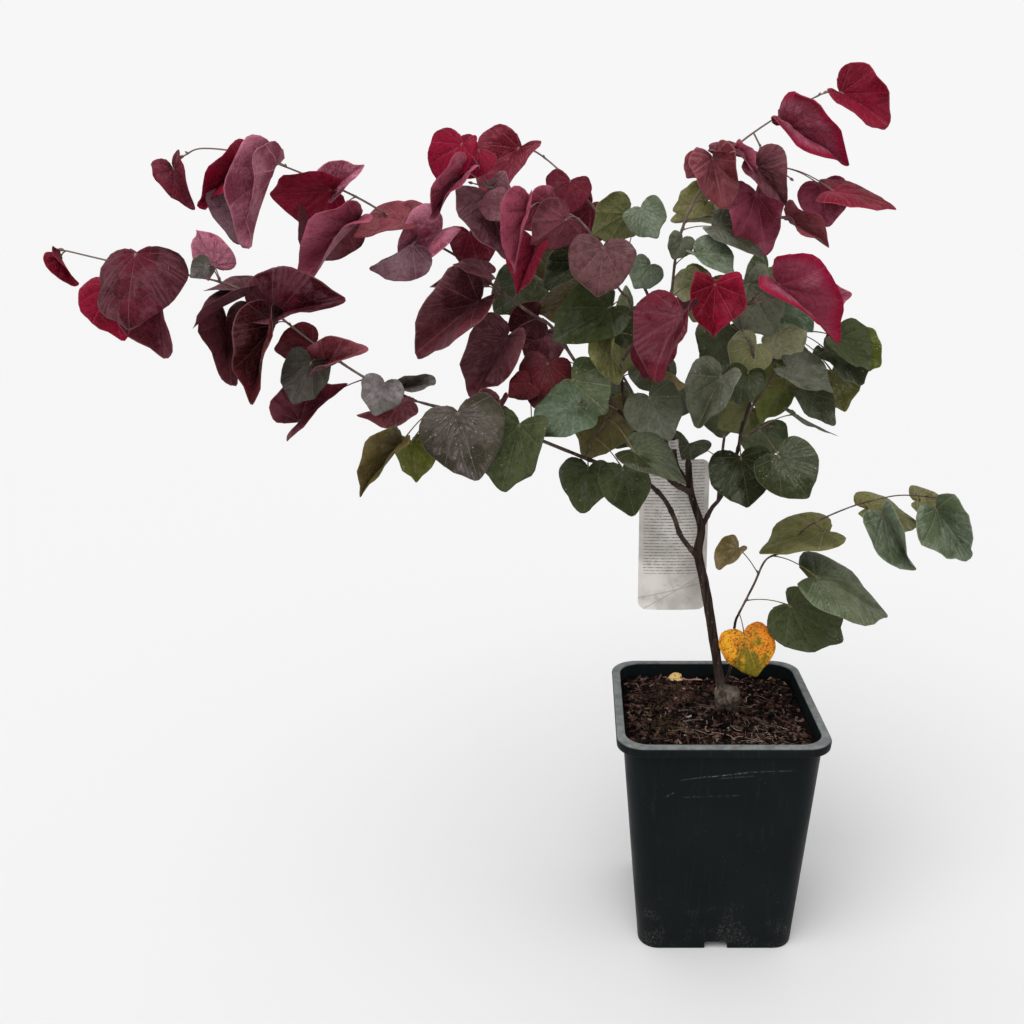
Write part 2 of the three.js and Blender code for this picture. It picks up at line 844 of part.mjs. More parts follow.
// A stalk arches from its stem to the blade and runs on a little way inside it.
function stalkPoints(foot, leaf) {
  const length = foot.distanceTo(leaf.base);
  const middle = foot.clone().lerp(leaf.base, 0.5).add(vector([0, 0, STALK_ARCH * length]));
  const curve = new THREE.QuadraticBezierCurve3(foot, middle, leaf.base);
  return [...curve.getPoints(STALK_STEPS), leaf.place(STALK_ROOT * leaf.midrib, 0)];
}

function stalk(foot, leaf) {
  const points = stalkPoints(foot, leaf);
  return tube(points, points.map(() => STALK_RADIUS), STALK_SIDES);
}

// ---- the growth rule ----
// The foot of a set leaf's stalk lies back along the nearest of the mass's stems.
function footFor(lines, base) {
  const nearest = lines
    .map((line) => ({ line, ...nearestOn(line, base) }))
    .reduce((best, candidate) => (candidate.apart < best.apart ? candidate : best));
  const distance = Math.max(nearest.distance - STALK_LEAN * nearest.apart, 0);
  return placeOn(nearest.line, distance).point;
}

function isClear(points, taken) {
  return points.every((point) => taken.every((other) => point.distanceTo(other) >= CLEARANCE));
}

// A leaf on a stalk from a foot, turned out by eight numbers from 0 to 1.
function sownLeaf(sown, foot, direction, side, draws) {
  const [round, reach, swing, lean, turn, size, fold, curl] = draws;
  const level = direction.clone().cross(vector([0, 0, 1])).normalize();
  const upward = level.clone().cross(direction);
  const angle = radians(side * between(SOWN_ROUND, round));
  const outward = direction
    .clone()
    .multiplyScalar(SOWN_FORWARD)
    .addScaledVector(upward, Math.cos(angle))
    .addScaledVector(level, Math.sin(angle))
    .normalize();
  const behind = outward.y > FACES_BACK;
  return new Leaf(
    foot.clone().addScaledVector(outward, between(SOWN_STALK, reach)),
    sown.size * between(SOWN_SIZE, size),
    sown.swing + between([-sown.spread, sown.spread], swing),
    (behind ? -1 : 1) * between(SOWN_LEAN, lean),
    (behind ? 180 : 0) + between(SOWN_TURN, turn),
    between(SOWN_FOLD, fold),
    between(SOWN_CURL, curl),
  );
}

// Sown leaves stand on alternate sides at each node of a stem. A node that a set leaf has taken stays
// free, and a leaf that would leave its space or come too near to another tries again.
function sowLeaves(line, sown, feet, taken) {
  const random = randomFrom(sown.seed);
  const grown = [];
  let side = 1;
  let distance = sown.start;
  while (distance < line.length - sown.stop) {
    const { point: foot, direction } = placeOn(line, distance);
    const busy = feet.some((other) => other.distanceTo(foot) < NODE_SPACE * sown.pitch);
    side = -side;
    for (let attempt = 0; attempt < TRIES; attempt += 1) {
      const leaf = sownLeaf(sown, foot, direction, side, Array.from({ length: DRAWS }, random));
      const probes = leaf.probes();
      const heights = probes.map((point) => point.z - foot.z);
      const inside = Math.min(...heights) > -sown.below && Math.max(...heights) < sown.above;
      if (!busy && inside && isClear(probes, taken)) {
        taken.push(...probes, ...stalkPoints(foot, leaf));
        grown.push({ foot, leaf });
        break;
      }
    }
    distance += sown.pitch * between(SOWN_STEP, random());
  }
  return grown;
}

// ---- the pieces ----
// Corner-rounded square, as a ring of points at one height.
function squareRing(width, corner, z) {
  const inner = width / 2 - corner;
  const ring = [];
  for (let quarter = 0; quarter < 4; quarter += 1) {
    const middle = (Math.PI / 2) * quarter + Math.PI / 4;
    const centre = [Math.sign(Math.cos(middle)) * inner, Math.sign(Math.sin(middle)) * inner];
    for (let step = 0; step <= CORNER_STEPS; step += 1) {
      const angle = (Math.PI / 2) * (quarter + step / CORNER_STEPS);
      ring.push(vector([centre[0] + corner * Math.cos(angle), centre[1] + corner * Math.sin(angle), z]));
    }
  }
  return ring;
}

// The wall's outer width and corner radius at a height.
function wallAt(z) {
  const share = z / POT_HEIGHT;
  return {
    width: POT_BOTTOM + (POT_TOP - POT_BOTTOM) * share,
    corner: POT_CORNER_BOTTOM + (POT_CORNER_TOP - POT_CORNER_BOTTOM) * share,
  };
}

// The space inside the pot, made smaller all round by an inset.
function cavity(bottom, top, inset) {
  const ring = (z) => {
    const wall = wallAt(z);
    const side = POT_WALL + inset;
    return squareRing(wall.width - 2 * side, wall.corner - side, z);
  };
  return loft([ring(bottom), ring(top)]);
}

// A block over each drain notch, wider and higher than the notch by a margin.
function notchBlocks(margin) {
  const inward = NOTCH_DEPTH + margin;
  const outward = margin > 0 ? -POT_WALL / 2 : POT_WALL; // a notch cuts right through the wall
  const base = margin > 0 ? POT_FLOOR / 2 : -POT_FLOOR;
  const height = NOTCH_HEIGHT + margin - base;
  const blocks = [0, 1, 2, 3].map((quarter) => {
    const block = new THREE.BoxGeometry(inward + outward, NOTCH_WIDTH + 2 * margin, height);
    block.translate(POT_BOTTOM / 2 + (outward - inward) / 2, 0, base + height / 2);
    block.rotateZ((Math.PI / 2) * quarter);
    return solidFrom(block);
  });
  return joined(blocks);
}

function drainHoles() {
  const holes = [1, -1].flatMap((x) =>
    [1, -1].map((y) => {
      const hole = new THREE.CylinderGeometry(DRAIN_RADIUS, DRAIN_RADIUS, 4 * POT_FLOOR, DRAIN_SIDES);
      hole.rotateX(Math.PI / 2);
      hole.translate(x * DRAIN_OFFSET, y * DRAIN_OFFSET, 0);
      return solidFrom(hole);
    }),
  );
  return joined(holes);
}

function makePot() {
  const wallBottom = wallAt(0);
  const wallTop = wallAt(POT_HEIGHT);
  const body = loft([
    squareRing(wallBottom.width, wallBottom.corner, 0),
    squareRing(wallTop.width, wallTop.corner, POT_HEIGHT),
  ]);
  const rim = loft([
    squareRing(RIM_WIDTH, RIM_CORNER, POT_HEIGHT - RIM_HEIGHT),
    squareRing(RIM_WIDTH, RIM_CORNER, POT_HEIGHT),
  ]);
  const shell = body.add(rim).subtract(cavity(POT_FLOOR, POT_HEIGHT + 1, 0));
  const moulded = shell.add(notchBlocks(POT_WALL)).subtract(notchBlocks(0)).subtract(drainHoles());
  return meshFrom('pot', moulded, POT_PLASTIC, 0.6);
}

// The soil's top is gently uneven, and level round the trunk.
function makeSoil() {
  const random = randomFrom(SOIL_SEED);
  const half = RIM_WIDTH / 2;
  const cell = RIM_WIDTH / SOIL_CELLS;
  const vertices = [];
  const triangles = [];
  const row = SOIL_CELLS + 1;
  for (let j = 0; j < row; j += 1) {
    for (let i = 0; i < row; i += 1) {
      const x = i * cell - half;
      const y = j * cell - half;
      const bump = SOIL_ROUGHNESS * (2 * random() - 1);
      const level = Math.hypot(x - TRUNK.path[0][0], y) < TRUNK_CLEARING + cell / 2;
      vertices.push(vector([x, y, SOIL_LEVEL + (level ? 0 : bump)]));
    }
  }
  const under = vertices.map((point) => vector([point.x, point.y, 0]));
  const floor = vertices.length;
  for (let j = 0; j < SOIL_CELLS; j += 1) {
    for (let i = 0; i < SOIL_CELLS; i += 1) {
      const a = j * row + i;
      triangles.push([a, a + 1, a + row + 1], [a, a + row + 1, a + row]);
      const b = a + floor;
      triangles.push([b, b + row + 1, b + 1], [b, b + row, b + row + 1]);
    }
  }
  const south = Array.from({ length: SOIL_CELLS }, (_, i) => i);
  const east = south.map((j) => j * row + SOIL_CELLS);
  const north = south.map((i) => SOIL_CELLS * row + SOIL_CELLS - i);
  const west = south.map((j) => (SOIL_CELLS - j) * row);
  const border = [...south, ...east, ...north, ...west];
  border.forEach((a, i) => {
    const b = border[(i + 1) % border.length];
    triangles.push([a, a + floor, b + floor], [a, b + floor, b]);
  });
  const block = solidFrom(geometryFrom([...vertices, ...under], triangles));
  const filled = block
    .intersect(cavity(POT_FLOOR + GAP, POT_HEIGHT, GAP))
    .subtract(notchBlocks(POT_WALL + GAP));
  return meshFrom('soil', filled, SOIL, 0.95);
}

function limbSolid(limb, grown) {
  return taperedTube(lineThrough(limb.path), limb.foot, limb.tip, LIMB_SIDES, LIMB_STRIDE, grown);
}

// The trunk rises out of a short swollen stock with a root flare, cut flat at the soil.
function trunkSolid(grown) {
  return joined([TRUNK, STOCK, FLARE].map((limb) => limbSolid(limb, grown)));
}

function groundCut() {
  const block = new THREE.BoxGeometry(RIM_WIDTH, RIM_WIDTH, POT_HEIGHT);
  block.translate(0, 0, SOIL_LEVEL + GAP - POT_HEIGHT / 2);
  return solidFrom(block);
}

// Limbs in growing order: each bough is cut clear of the limbs before it.
function makeLimbs() {
  const meshes = [meshFrom(TRUNK.name, trunkSolid(0).subtract(groundCut()), BARK, 0.9)];
  let grownLimbs = trunkSolid(GAP);
  BOUGHS.forEach((bough) => {
    meshes.push(meshFrom(bough.name, limbSolid(bough, 0).subtract(grownLimbs), BARK, 0.9));
    grownLimbs = grownLimbs.add(limbSolid(bough, GAP));
  });
  return { meshes, grownLimbs };
}

// The lines of each mass's stems, with its set leaves and then its sown ones. All masses share one list
// of taken points, so that sown leaves keep clear of every other mass.
function growMasses() {
  const grownMasses = MASSES.map((mass) => {
    const lines = mass.stems.map((stem) => lineThrough(stem.path));
    const grown = mass.leaves.map(([x, y, z, ...pose]) => {
      const leaf = new Leaf(vector([x, y, z]), ...pose);
      return { leaf, foot: footFor(lines, leaf.base) };
    });
    return { ...mass, lines, grown };
  });
  const limbLines = [TRUNK, ...BOUGHS].map((limb) => lineThrough(limb.path));
  const stemLines = grownMasses.flatMap((mass) => mass.lines);
  const setLeaves = grownMasses.flatMap((mass) => mass.grown);
  const taken = [
    ...[...limbLines, ...stemLines].flatMap((line) => line.points),
    ...setLeaves.flatMap(({ foot, leaf }) => [...leaf.probes(), ...stalkPoints(foot, leaf)]),
  ];
  grownMasses.forEach((mass) => {
    mass.stems.forEach((stem, i) => {
      if (!stem.sown) return;
      const feet = mass.grown.map(({ foot }) => foot);
      mass.grown.push(...sowLeaves(mass.lines[i], stem.sown, feet, taken));
    });
  });
  return grownMasses;
}

function stemsOf(mass, grown) {
  const stems = mass.stems.map((stem, i) =>
    taperedTube(mass.lines[i], stem.foot, stem.tip, STEM_SIDES, STEM_STRIDE, grown),
  );
  return joined(stems);
}

// A solid less the stems of some masses, grown by the gap.
function clearOf(masses, solid) {
  return masses.reduce((rest, mass) => rest.subtract(stemsOf(mass, GAP)), solid);
}

// Each mass is one solid, cut clear of the limbs and of the other masses' stems.
function makeMasses(grownLimbs) {
  const grownMasses = growMasses();
  return grownMasses.map((mass, place) => {
    const earlier = grownMasses.slice(0, place);
    const later = grownMasses.slice(place + 1);
    const stems = clearOf(earlier, stemsOf(mass, 0));
    const leaves = joined(mass.grown.flatMap(({ foot, leaf }) => [stalk(foot, leaf), leaf.solid()]));
    const clearLeaves = clearOf([...earlier, ...later], leaves);
    return meshFrom(mass.name, stems.add(clearLeaves).subtract(grownLimbs), mass.colour, 0.6);
  });
}

// A card with round corners on a strap that loops round the leader bough.
function makeTag() {
  const half = TAG_WIDTH / 2;
  const [low, high] = [TAG_TOP - TAG_HEIGHT, TAG_TOP];
  const outline = new THREE.Shape();
  outline.moveTo(-half + TAG_CORNER, low);
  outline.lineTo(half - TAG_CORNER, low);
  outline.absarc(half - TAG_CORNER, low + TAG_CORNER, TAG_CORNER, -Math.PI / 2, 0, false);
  outline.absarc(half - TAG_CORNER, high - TAG_CORNER, TAG_CORNER, 0, Math.PI / 2, false);
  outline.absarc(-half + TAG_CORNER, high - TAG_CORNER, TAG_CORNER, Math.PI / 2, Math.PI, false);
  outline.absarc(-half + TAG_CORNER, low + TAG_CORNER, TAG_CORNER, Math.PI, 1.5 * Math.PI, false);
  const upright = (shape, depth) => {
    const settings = { depth, bevelEnabled: false, curveSegments: 4 };
    const geometry = new THREE.ExtrudeGeometry(shape, settings);
    geometry.rotateX(Math.PI / 2);
    geometry.translate(TAG_MIDDLE[0], TAG_MIDDLE[1] + depth, 0);
    return solidFrom(geometry);
  };
  const bough = BOUGHS.find((limb) => limb.name === 'bough_leader');
  const line = lineThrough(bough.path);
  const step = line.points.findIndex((point) => point.z > LOOP_LEVEL);
  const centre = line.points[step];
  const direction = line.points[step + 1].clone().sub(centre).normalize();
  const inside = bough.foot + GAP; // the bough is thickest at its foot
  const outer = inside + LOOP_THICKNESS;
  const ring = (radius, length) => {
    const offsets = [-length / 2, length / 2];
    const ends = offsets.map((offset) => centre.clone().addScaledVector(direction, offset));
    return tube(ends, [radius, radius], LOOP_SIDES);
  };
  const strapLength = centre.z - high + TAG_NECK;
  const strap = new THREE.BoxGeometry(TAG_NECK, TAG_THICKNESS, strapLength);
  const strapMiddle = centre.z + (LOOP_WIDTH - strapLength) / 2;
  strap.translate(centre.x, TAG_MIDDLE[1] + TAG_THICKNESS / 2, strapMiddle);
  const link = new THREE.BoxGeometry(LOOP_WIDTH / 2, TAG_MIDDLE[1] - centre.y, LOOP_WIDTH / 2);
  link.translate(centre.x, (TAG_MIDDLE[1] + centre.y + inside) / 2, centre.z);
  const card = upright(outline, TAG_THICKNESS);
  const tag = joined([card, solidFrom(strap), solidFrom(link), ring(outer, LOOP_WIDTH)]);
  return meshFrom('hang_tag', tag.subtract(ring(inside, 4 * LOOP_WIDTH)), TAG_CARD, 0.5);
}

const { meshes: limbMeshes, grownLimbs } = makeLimbs();
const tree = new THREE.Group();
tree.add(makePot(), makeSoil(), ...limbMeshes, ...makeMasses(grownLimbs), makeTag());

export default tree;
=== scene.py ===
"""A young redbud in its square nursery pot, grown over its CAD frame.

Metres, +Z up, +X to the right, -Y towards the front. The plan of the plant is in millimetres.
"""

import json
import math

import bpy
import numpy as np
from mathutils import Euler, Matrix, Vector, noise


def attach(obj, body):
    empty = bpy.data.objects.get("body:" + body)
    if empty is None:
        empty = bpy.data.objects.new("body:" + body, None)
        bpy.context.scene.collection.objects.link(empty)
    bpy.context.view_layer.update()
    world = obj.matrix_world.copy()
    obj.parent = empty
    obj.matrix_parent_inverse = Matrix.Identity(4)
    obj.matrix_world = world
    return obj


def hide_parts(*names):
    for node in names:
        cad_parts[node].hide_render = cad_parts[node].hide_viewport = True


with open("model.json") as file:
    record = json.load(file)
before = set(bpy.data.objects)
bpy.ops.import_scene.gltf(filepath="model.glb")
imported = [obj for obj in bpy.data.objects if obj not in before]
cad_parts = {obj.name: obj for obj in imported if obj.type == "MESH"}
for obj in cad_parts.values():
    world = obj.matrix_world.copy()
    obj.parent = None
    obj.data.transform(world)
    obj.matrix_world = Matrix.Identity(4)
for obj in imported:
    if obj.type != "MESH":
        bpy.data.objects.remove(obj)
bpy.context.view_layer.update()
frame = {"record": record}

bl_info = {
    "name": "Potted Redbud",
    "version": (1, 0, 0),
    "blender": (4, 5, 0),
    "location": "3D View > Sidebar > Redbud",
    "description": "Grows a young redbud in its nursery pot",
    "category": "Add Mesh",
}

MM = 0.001
BODY = "root"

# ---- the growth rule: the numbers of the plant's solids, in millimetres and degrees ----
SPAN_STEPS = 12  # steps along a curve between two of its points
STALK_ARCH = 0.16  # rise of the stalk's middle, in stalk lengths
STALK_LEAN = 0.45  # how far its foot lies back along the stem, in stalk lengths
STALK_ROOT = 0.14  # how far it runs on into the blade, in midrib lengths
STALK_STEPS = 2  # steps of the stalk that sown leaves keep clear of
MIDRIB = 0.8  # midrib length in blade lengths
REACH = [0.88, 0.835, 0.755, 0.675, 0.6, 0.475, 0.27, 0.085, 0]  # margin, from the tip round to the notch
REACH_STEP = 22.5
TIP_LENGTH = 0.12
TIP_SHARPNESS = 9
CLEARANCE = 9  # from a sown leaf to everything that was there before it
TRIES = 10  # for a sown leaf at each node
PROBE_ANGLES = 12
PROBE_REACHES = [0.3, 0.6, 0.95]
# Least and most of what is drawn for a sown leaf
SOWN_ROUND = [30, 140]  # round its stem
SOWN_STALK = [26, 46]
SOWN_SIZE = [0.82, 1.12]
SOWN_LEAN = [15, 45]
SOWN_TURN = [-40, 40]
SOWN_FOLD = [5, 35]
SOWN_CURL = [8, 33]
SOWN_STEP = [0.85, 1.15]  # between nodes, in pitches
SOWN_FORWARD = 0.5  # how much its stalk leans along the stem
NODE_SPACE = 0.4  # round a set leaf's foot, in pitches
FACES_BACK = 0.25  # a stalk that points more to the rear than this bears a leaf that faces back
DRAWS = 8
TINT_DRAW = 97  # spreads a leaf's sixth draw over its stem's tints


def limb(foot, tip, *path, **sown):
    """A limb that tapers from its foot radius to its tip radius along a curve through its points.

    A stem that comes with a seed also bears leaves sown by the growth rule.
    """
    return {"foot": foot, "tip": tip, "path": path, "sown": sown}


TRUNK = limb(
    6.6, 3.4, (8, 0, 231), (7, 0, 265), (-3, 0, 325), (-13, 2, 381), (-22, 4, 422), (-20, 4, 451),
    (-32, 2, 489), (-36, 0, 524),
)
FLARE = limb(13, 6, (9, 0, 231), (8, 0, 245), (6, 0, 268))
STOCK = limb(12.5, 8, (15, -4, 231), (17, -5, 250), (20, -7, 270))
BOUGHS = {
    "bough_low_left": limb(
        3.4, 2.2, (-22, 3, 417), (-42, -12, 445), (-50, -16, 466), (-59, -20, 484), (-71, -25, 499),
        (-92, -30, 515), (-135, -40, 532), (-157, -45, 542),
    ),
    "bough_high_left": limb(
        3.6, 2.5, (-32, 2, 489), (-56, -12, 507), (-73, -20, 542), (-87, -20, 559), (-109, -15, 578),
    ),
    "bough_leader": limb(
        3.4, 2.5, (-33, 2, 497), (-46, 12, 514), (-51, 20, 548), (-56, 25, 582), (-58, 30, 606),
    ),
    "bough_right": limb(
        2.9, 2, (-20, 4, 449), (-10, 0, 472), (-1, -5, 488), (13, -10, 535), (16, -10, 557), (24, -12, 586),
    ),
    "bough_middle": limb(2.3, 1.9, (-98, -17, 569), (-103, -6, 590), (-107, 0, 621)),
    "bough_base_shoot": limb(2.2, 1.6, (6, 2, 262), (18, 9, 290), (21, 12, 337), (25, 12, 351)),
}
# Each mass has stems, and leaves set in place as (x, y, z of the stalk's end, blade length, swing, lean, turn,
# fold, curl, tint).
MASSES = [
    (
        "foliage_low_left_inner",
        [
            limb(2.2, 1.6, (-157, -45, 542), (-224, -60, 572), (-300, -80, 598)),
        ],
        [
            (-314, -100, 560, 74, -40, 17, 25, 72, 10, "bronze"),
            (-308, -72, 557, 49, 10, 21, -34, 34, 10, "bright"),
            (-258, -112, 593, 80, 18, 19, 0, -8, 12, "slate"),
            (-203, -98, 579, 79, -17, 19, 10, 40, 12, "dark"),
            (-195, -50, 610, 31, -60, 18, 20, 20, 10, "umber"),
            (-222, -80, 597, 56, -16, 16, 30, 55, 10, "darkmaroon"),
        ],
    ),
    (
        "foliage_high_left_inner",
        [
            limb(
                2.4, 1.4, (-109, -15, 578), (-127, -10, 603), (-149, -5, 622), (-174, 0, 658),
                (-192, 0, 670), (-225, -5, 694), (-256, -10, 721), (-289, -20, 742),
            ),
        ],
        [
            (-178, -44, 629, 56, -15, 14, 0, -12, 10, "umber"),
            (-150, -72, 592, 68, -66, 15, 54, 6, 10, "blue"),
            (-155, -50, 614, 59, 48, 18, 0, 8, 20, "green"),
            (-242, -12, 699, 62, -93, 8, 75, 25, 10, "darkmaroon"),
            (-232, -62, 714, 42, -108, 8, 75, 10, 10, "darkmaroon"),
            (-244, -36, 686, 99, -54, 14, 22, 62, 10, "darkmaroon"),
            (-218, -24, 651, 84, -33, 15, 16, 54, 8, "darkmaroon"),
            (-190, 14, 667, 42, -69, 14, -10, 30, 10, "umber"),
            (-145, 32, 698, 72, -59, 11, -50, 25, 10, "bronze"),
        ],
    ),
    (
        "foliage_low_left_outer",
        [
            limb(
                1.6, 0.8, (-300, -80, 598), (-344, -90, 621), (-390, -100, 656), (-427, -115, 691),
                (-457, -130, 710), (-520, -160, 725), (-565, -180, 738),
            ),
        ],
        [
            (-568, -178, 733, 34, 28, 17, 12, 78, 10, "crimson"),
            (-539, -156, 710, 60, 10, 18, 0, 12, 10, "crimson"),
            (-507, -178, 735, 85, 2, 40, 0, -18, 25, "claret"),
            (-500, -150, 714, 86, 1, 16, 20, 45, 10, "maroon"),
            (-453, -165, 725, 22, -57, 23, 150, 30, 10, "silver"),
            (-461, -128, 723, 42, -164, 17, 35, 40, 30, "rose"),
            (-433, -132, 700, 70, -66, 13, 80, 22, 10, "claret"),
            (-434, -108, 701, 53, -98, 9, 80, 20, 10, "darkmaroon"),
            (-431, -98, 699, 37, 137, 4, 20, 40, 10, "darkmaroon"),
            (-415, -128, 681, 85, 104, 10, -32, 62, 10, "claret"),
            (-464, -100, 677, 76, 4, 15, -18, 70, 5, "darkmaroon"),
            (-409, -142, 675, 88, -20, 15, 18, 70, 10, "umber"),
            (-381, -138, 642, 50, -25, 13, 165, 35, 20, "slate"),
            (-372, -128, 636, 57, 115, 8, -35, 65, 0, "brownred"),
            (-389, -100, 652, 42, -86, 14, 20, 20, 10, "umber"),
            (-404, -108, 584, 74, 128, 9, -25, 62, 10, "maroon"),
            (-320, -128, 622, 38, -16, 11, 170, 15, 10, "silver"),
            (-312, -88, 612, 42, 103, 7, -16, 76, 10, "slate"),
            (-314, -70, 596, 57, -66, 10, -60, 30, 10, "brownred"),
        ],
    ),
    (
        "foliage_high_left_outer",
        [
            limb(
                1.4, 0.7, (-289, -20, 742), (-318, -30, 760), (-352, -40, 781), (-389, -50, 798),
                (-439, -70, 817), (-478, -80, 822), (-495, -85, 815),
            ),
        ],
        [
            (-504, -85, 805, 51, 29, 18, -10, 60, 10, "maroon"),
            (-448, -60, 810, 74, -49, 12, 8, 80, 10, "crimson"),
            (-413, -90, 807, 95, -21, 14, 20, 74, 5, "rose"),
            (-449, -66, 789, 62, -16, 7, 132, 34, 10, "purple"),
            (-374, -52, 788, 70, -84, 11, -45, 30, 10, "crimson"),
            (-376, -38, 788, 47, 127, 4, -20, 40, 10, "rose"),
            (-348, -78, 758, 87, -45, 12, 13, 76, 0, "magenta"),
            (-374, -32, 768, 69, -40, 12, -30, 20, 10, "darkmaroon"),
            (-311, -38, 760, 61, -80, 14, 60, 20, 20, "brownred"),
            (-311, -26, 762, 31, 118, 8, -30, 30, 10, "brownred"),
            (-300, -64, 739, 58, -59, 7, -140, 40, 10, "purple"),
            (-278, -30, 752, 72, -43, 12, 15, 60, 10, "rose"),
        ],
    ),
    (
        "foliage_centre_front",
        [
            limb(1.5, 0.9, (-110, -15, 579), (-128, -25, 560), (-142, -35, 536)),
        ],
        [
            (-139, -38, 524, 56, -6, 19, 6, 36, 10, "dark"),
            (-105, -50, 526, 58, 15, 19, 0, 34, 10, "dark"),
            (-96, -68, 548, 75, 67, 14, -70, 12, 15, "dark"),
            (-118, 10, 584, 81, -22, 8, 0, 45, 10, "tan"),
        ],
    ),
    (
        "foliage_upper_middle",
        [
            limb(
                1.9, 0.8, (-107, 0, 621), (-92, -10, 652), (-99, -20, 686), (-111, -25, 700),
                (-139, -35, 752), (-166, -40, 771), (-208, -45, 785), (-246, -50, 794),
            ),
        ],
        [
            (-118, -44, 682, 79, -61, 15, 25, 45, 5, "deep"),
            (-252, -64, 827, 54, -29, 17, 35, 35, 10, "crimson"),
            (-249, -74, 802, 69, -38, 8, 8, 82, 0, "magenta"),
            (-239, -46, 823, 40, -38, 15, 0, 20, 10, "crimson"),
            (-233, -40, 784, 78, 18, 15, 0, 50, 10, "purple"),
            (-213, -62, 773, 34, -97, 12, 20, 25, 10, "purple"),
            (-253, -10, 750, 49, 15, 16, -10, 24, 10, "wine"),
            (-192, -88, 771, 75, -14, 15, 16, 80, 5, "magenta"),
            (-188, -58, 736, 60, -22, 16, 14, 72, 10, "wine"),
            (-171, -56, 775, 45, -51, 14, -10, 25, 10, "magenta"),
            (-159, -74, 762, 48, -56, 1, 170, 20, 20, "maroon"),
            (-126, -80, 738, 60, -6, 29, 0, 12, 30, "mauve"),
            (-119, -52, 654, 55, 6, 8, 28, 66, 8, "olive"),
            (-54, -72, 678, 84, -29, 15, 48, 42, 10, "maroon"),
            (-106, -10, 668, 37, 6, 20, 0, 10, 10, "deep"),
        ],
    ),
    (
        "foliage_upper_rear",
        [
            limb(
                2.4, 0.8, (-58, 30, 606), (-64, 40, 642), (-74, 50, 679), (-85, 55, 702), (-114, 65, 750),
                (-135, 70, 776), (-163, 80, 806), (-189, 85, 827), (-207, 90, 834),
                seed=16, start=20, stop=0, pitch=42, size=58, swing=0, spread=40, below=85, above=40,
                tints=("bronze", "dark", "maroon", "brownred"),
            ),
        ],
        [
            (-147, 58, 720, 57, -57, 14, -10, 15, 10, "deep"),
            (-208, 52, 831, 80, -33, 12, 36, 36, 10, "wine"),
            (-157, 62, 800, 47, -16, 16, 0, 22, 10, "maroon"),
            (-135, 82, 778, 68, -38, 12, -10, 25, 10, "wine"),
            (-100, 50, 768, 52, -61, 5, 160, 10, 10, "olive"),
            (-87, 22, 773, 42, 29, 18, 0, 5, 10, "frost"),
            (-75, 50, 717, 36, -33, 16, 0, 5, 10, "frost"),
        ],
    ),
    (
        "foliage_leader",
        [
            limb(
                2.2, 0.8, (-55, 26, 590), (-57, 30, 648), (-54, 30, 693), (-48, 30, 743), (-30, 30, 787),
                (1, 30, 827), (46, 25, 859), (87, 20, 879),
            ),
            limb(1.1, 0.7, (22, 28, 843), (34, 24, 822), (48, 18, 808), (58, 14, 800)),
        ],
        [
            (101, 12, 878, 69, 59, 14, -20, 54, 10, "crimson"),
            (51, 18, 848, 88, 60, 12, -17, 77, 10, "flame"),
            (-8, 33, 826, 83, 77, 6, -78, 16, 10, "maroon"),
            (-19, 14, 820, 63, 12, 13, 12, 58, 10, "brownred"),
            (-30, 24, 818, 27, -37, 15, 0, 20, 10, "brownred"),
            (27, 29, 787, 75, 10, 13, 10, 45, 5, "magenta"),
            (-19, 56, 780, 44, -81, 10, 30, 15, 10, "olive"),
            (10, 68, 761, 83, -97, 5, 74, 15, 10, "olive"),
            (-11, 20, 754, 71, 61, 10, -58, 20, 10, "grey"),
            (-33, -6, 731, 56, 60, 13, -55, 30, 10, "frost"),
            (-46, 14, 744, 28, -24, 14, 0, 30, 10, "grey"),
            (-26, 52, 699, 38, -77, 11, 40, 15, 10, "pale"),
            (-1, -24, 823, 39, 45, 7, -10, 80, 5, "magenta"),
            (19, -16, 810, 59, 39, 14, -14, 64, 10, "darkmaroon"),
            (93, 34, 793, 49, 9, 11, 10, 15, 5, "magenta"),
            (94, -4, 789, 80, 79, 9, -68, 12, 10, "crimson"),
            (53, -8, 762, 61, 57, 13, -11, 70, 10, "brownred"),
        ],
    ),
    (
        "foliage_right_front",
        [
            limb(
                1.8, 0.9, (24, -12, 586), (24, -20, 615), (21, -25, 641), (9, -30, 661), (8, -35, 679),
                (28, -40, 696),
                seed=19, start=20, stop=0, pitch=36, size=54, swing=10, spread=40, below=85, above=40,
                tints=("dark", "green", "olive", "grey"),
            ),
        ],
        [
            (-19, -38, 703, 65, -3, 17, 5, 44, 10, "crimson"),
            (35, -70, 705, 96, 48, 14, -17, 66, 10, "flame"),
            (77, -40, 685, 41, 106, 14, -20, 30, 10, "magenta"),
            (17, -10, 702, 69, 28, 14, 10, 40, 10, "grey"),
            (-11, -50, 617, 68, -29, 16, 28, 45, 10, "grey"),
            (4, 15, 659, 59, -28, 14, 0, 10, 10, "dark"),
            (53, 2, 679, 49, 59, 12, -30, 40, 10, "blue"),
            (15, -44, 620, 40, -19, 18, 20, 20, 10, "deep"),
            (26, -20, 644, 45, -41, 18, 0, 10, 20, "pale"),
        ],
    ),
    (
        "foliage_right_rear",
        [
            limb(
                1.7, 0.9, (20, -11, 572), (49, 10, 611), (54, 20, 625), (79, 40, 649), (97, 52, 662),
                seed=20, start=20, stop=0, pitch=36, size=54, swing=10, spread=40, below=85, above=40,
                tints=("dark", "green", "olive", "grey"),
            ),
        ],
        [
            (116, 22, 646, 56, 48, 14, -25, 40, 10, "dark"),
            (109, 42, 631, 68, 50, 12, -30, 45, 10, "dark"),
            (139, 56, 635, 49, 57, 10, -10, 10, 10, "bright"),
            (61, -2, 620, 65, 66, 13, -58, 15, 10, "grey"),
            (84, 20, 592, 60, 51, 12, -58, 15, 10, "dark"),
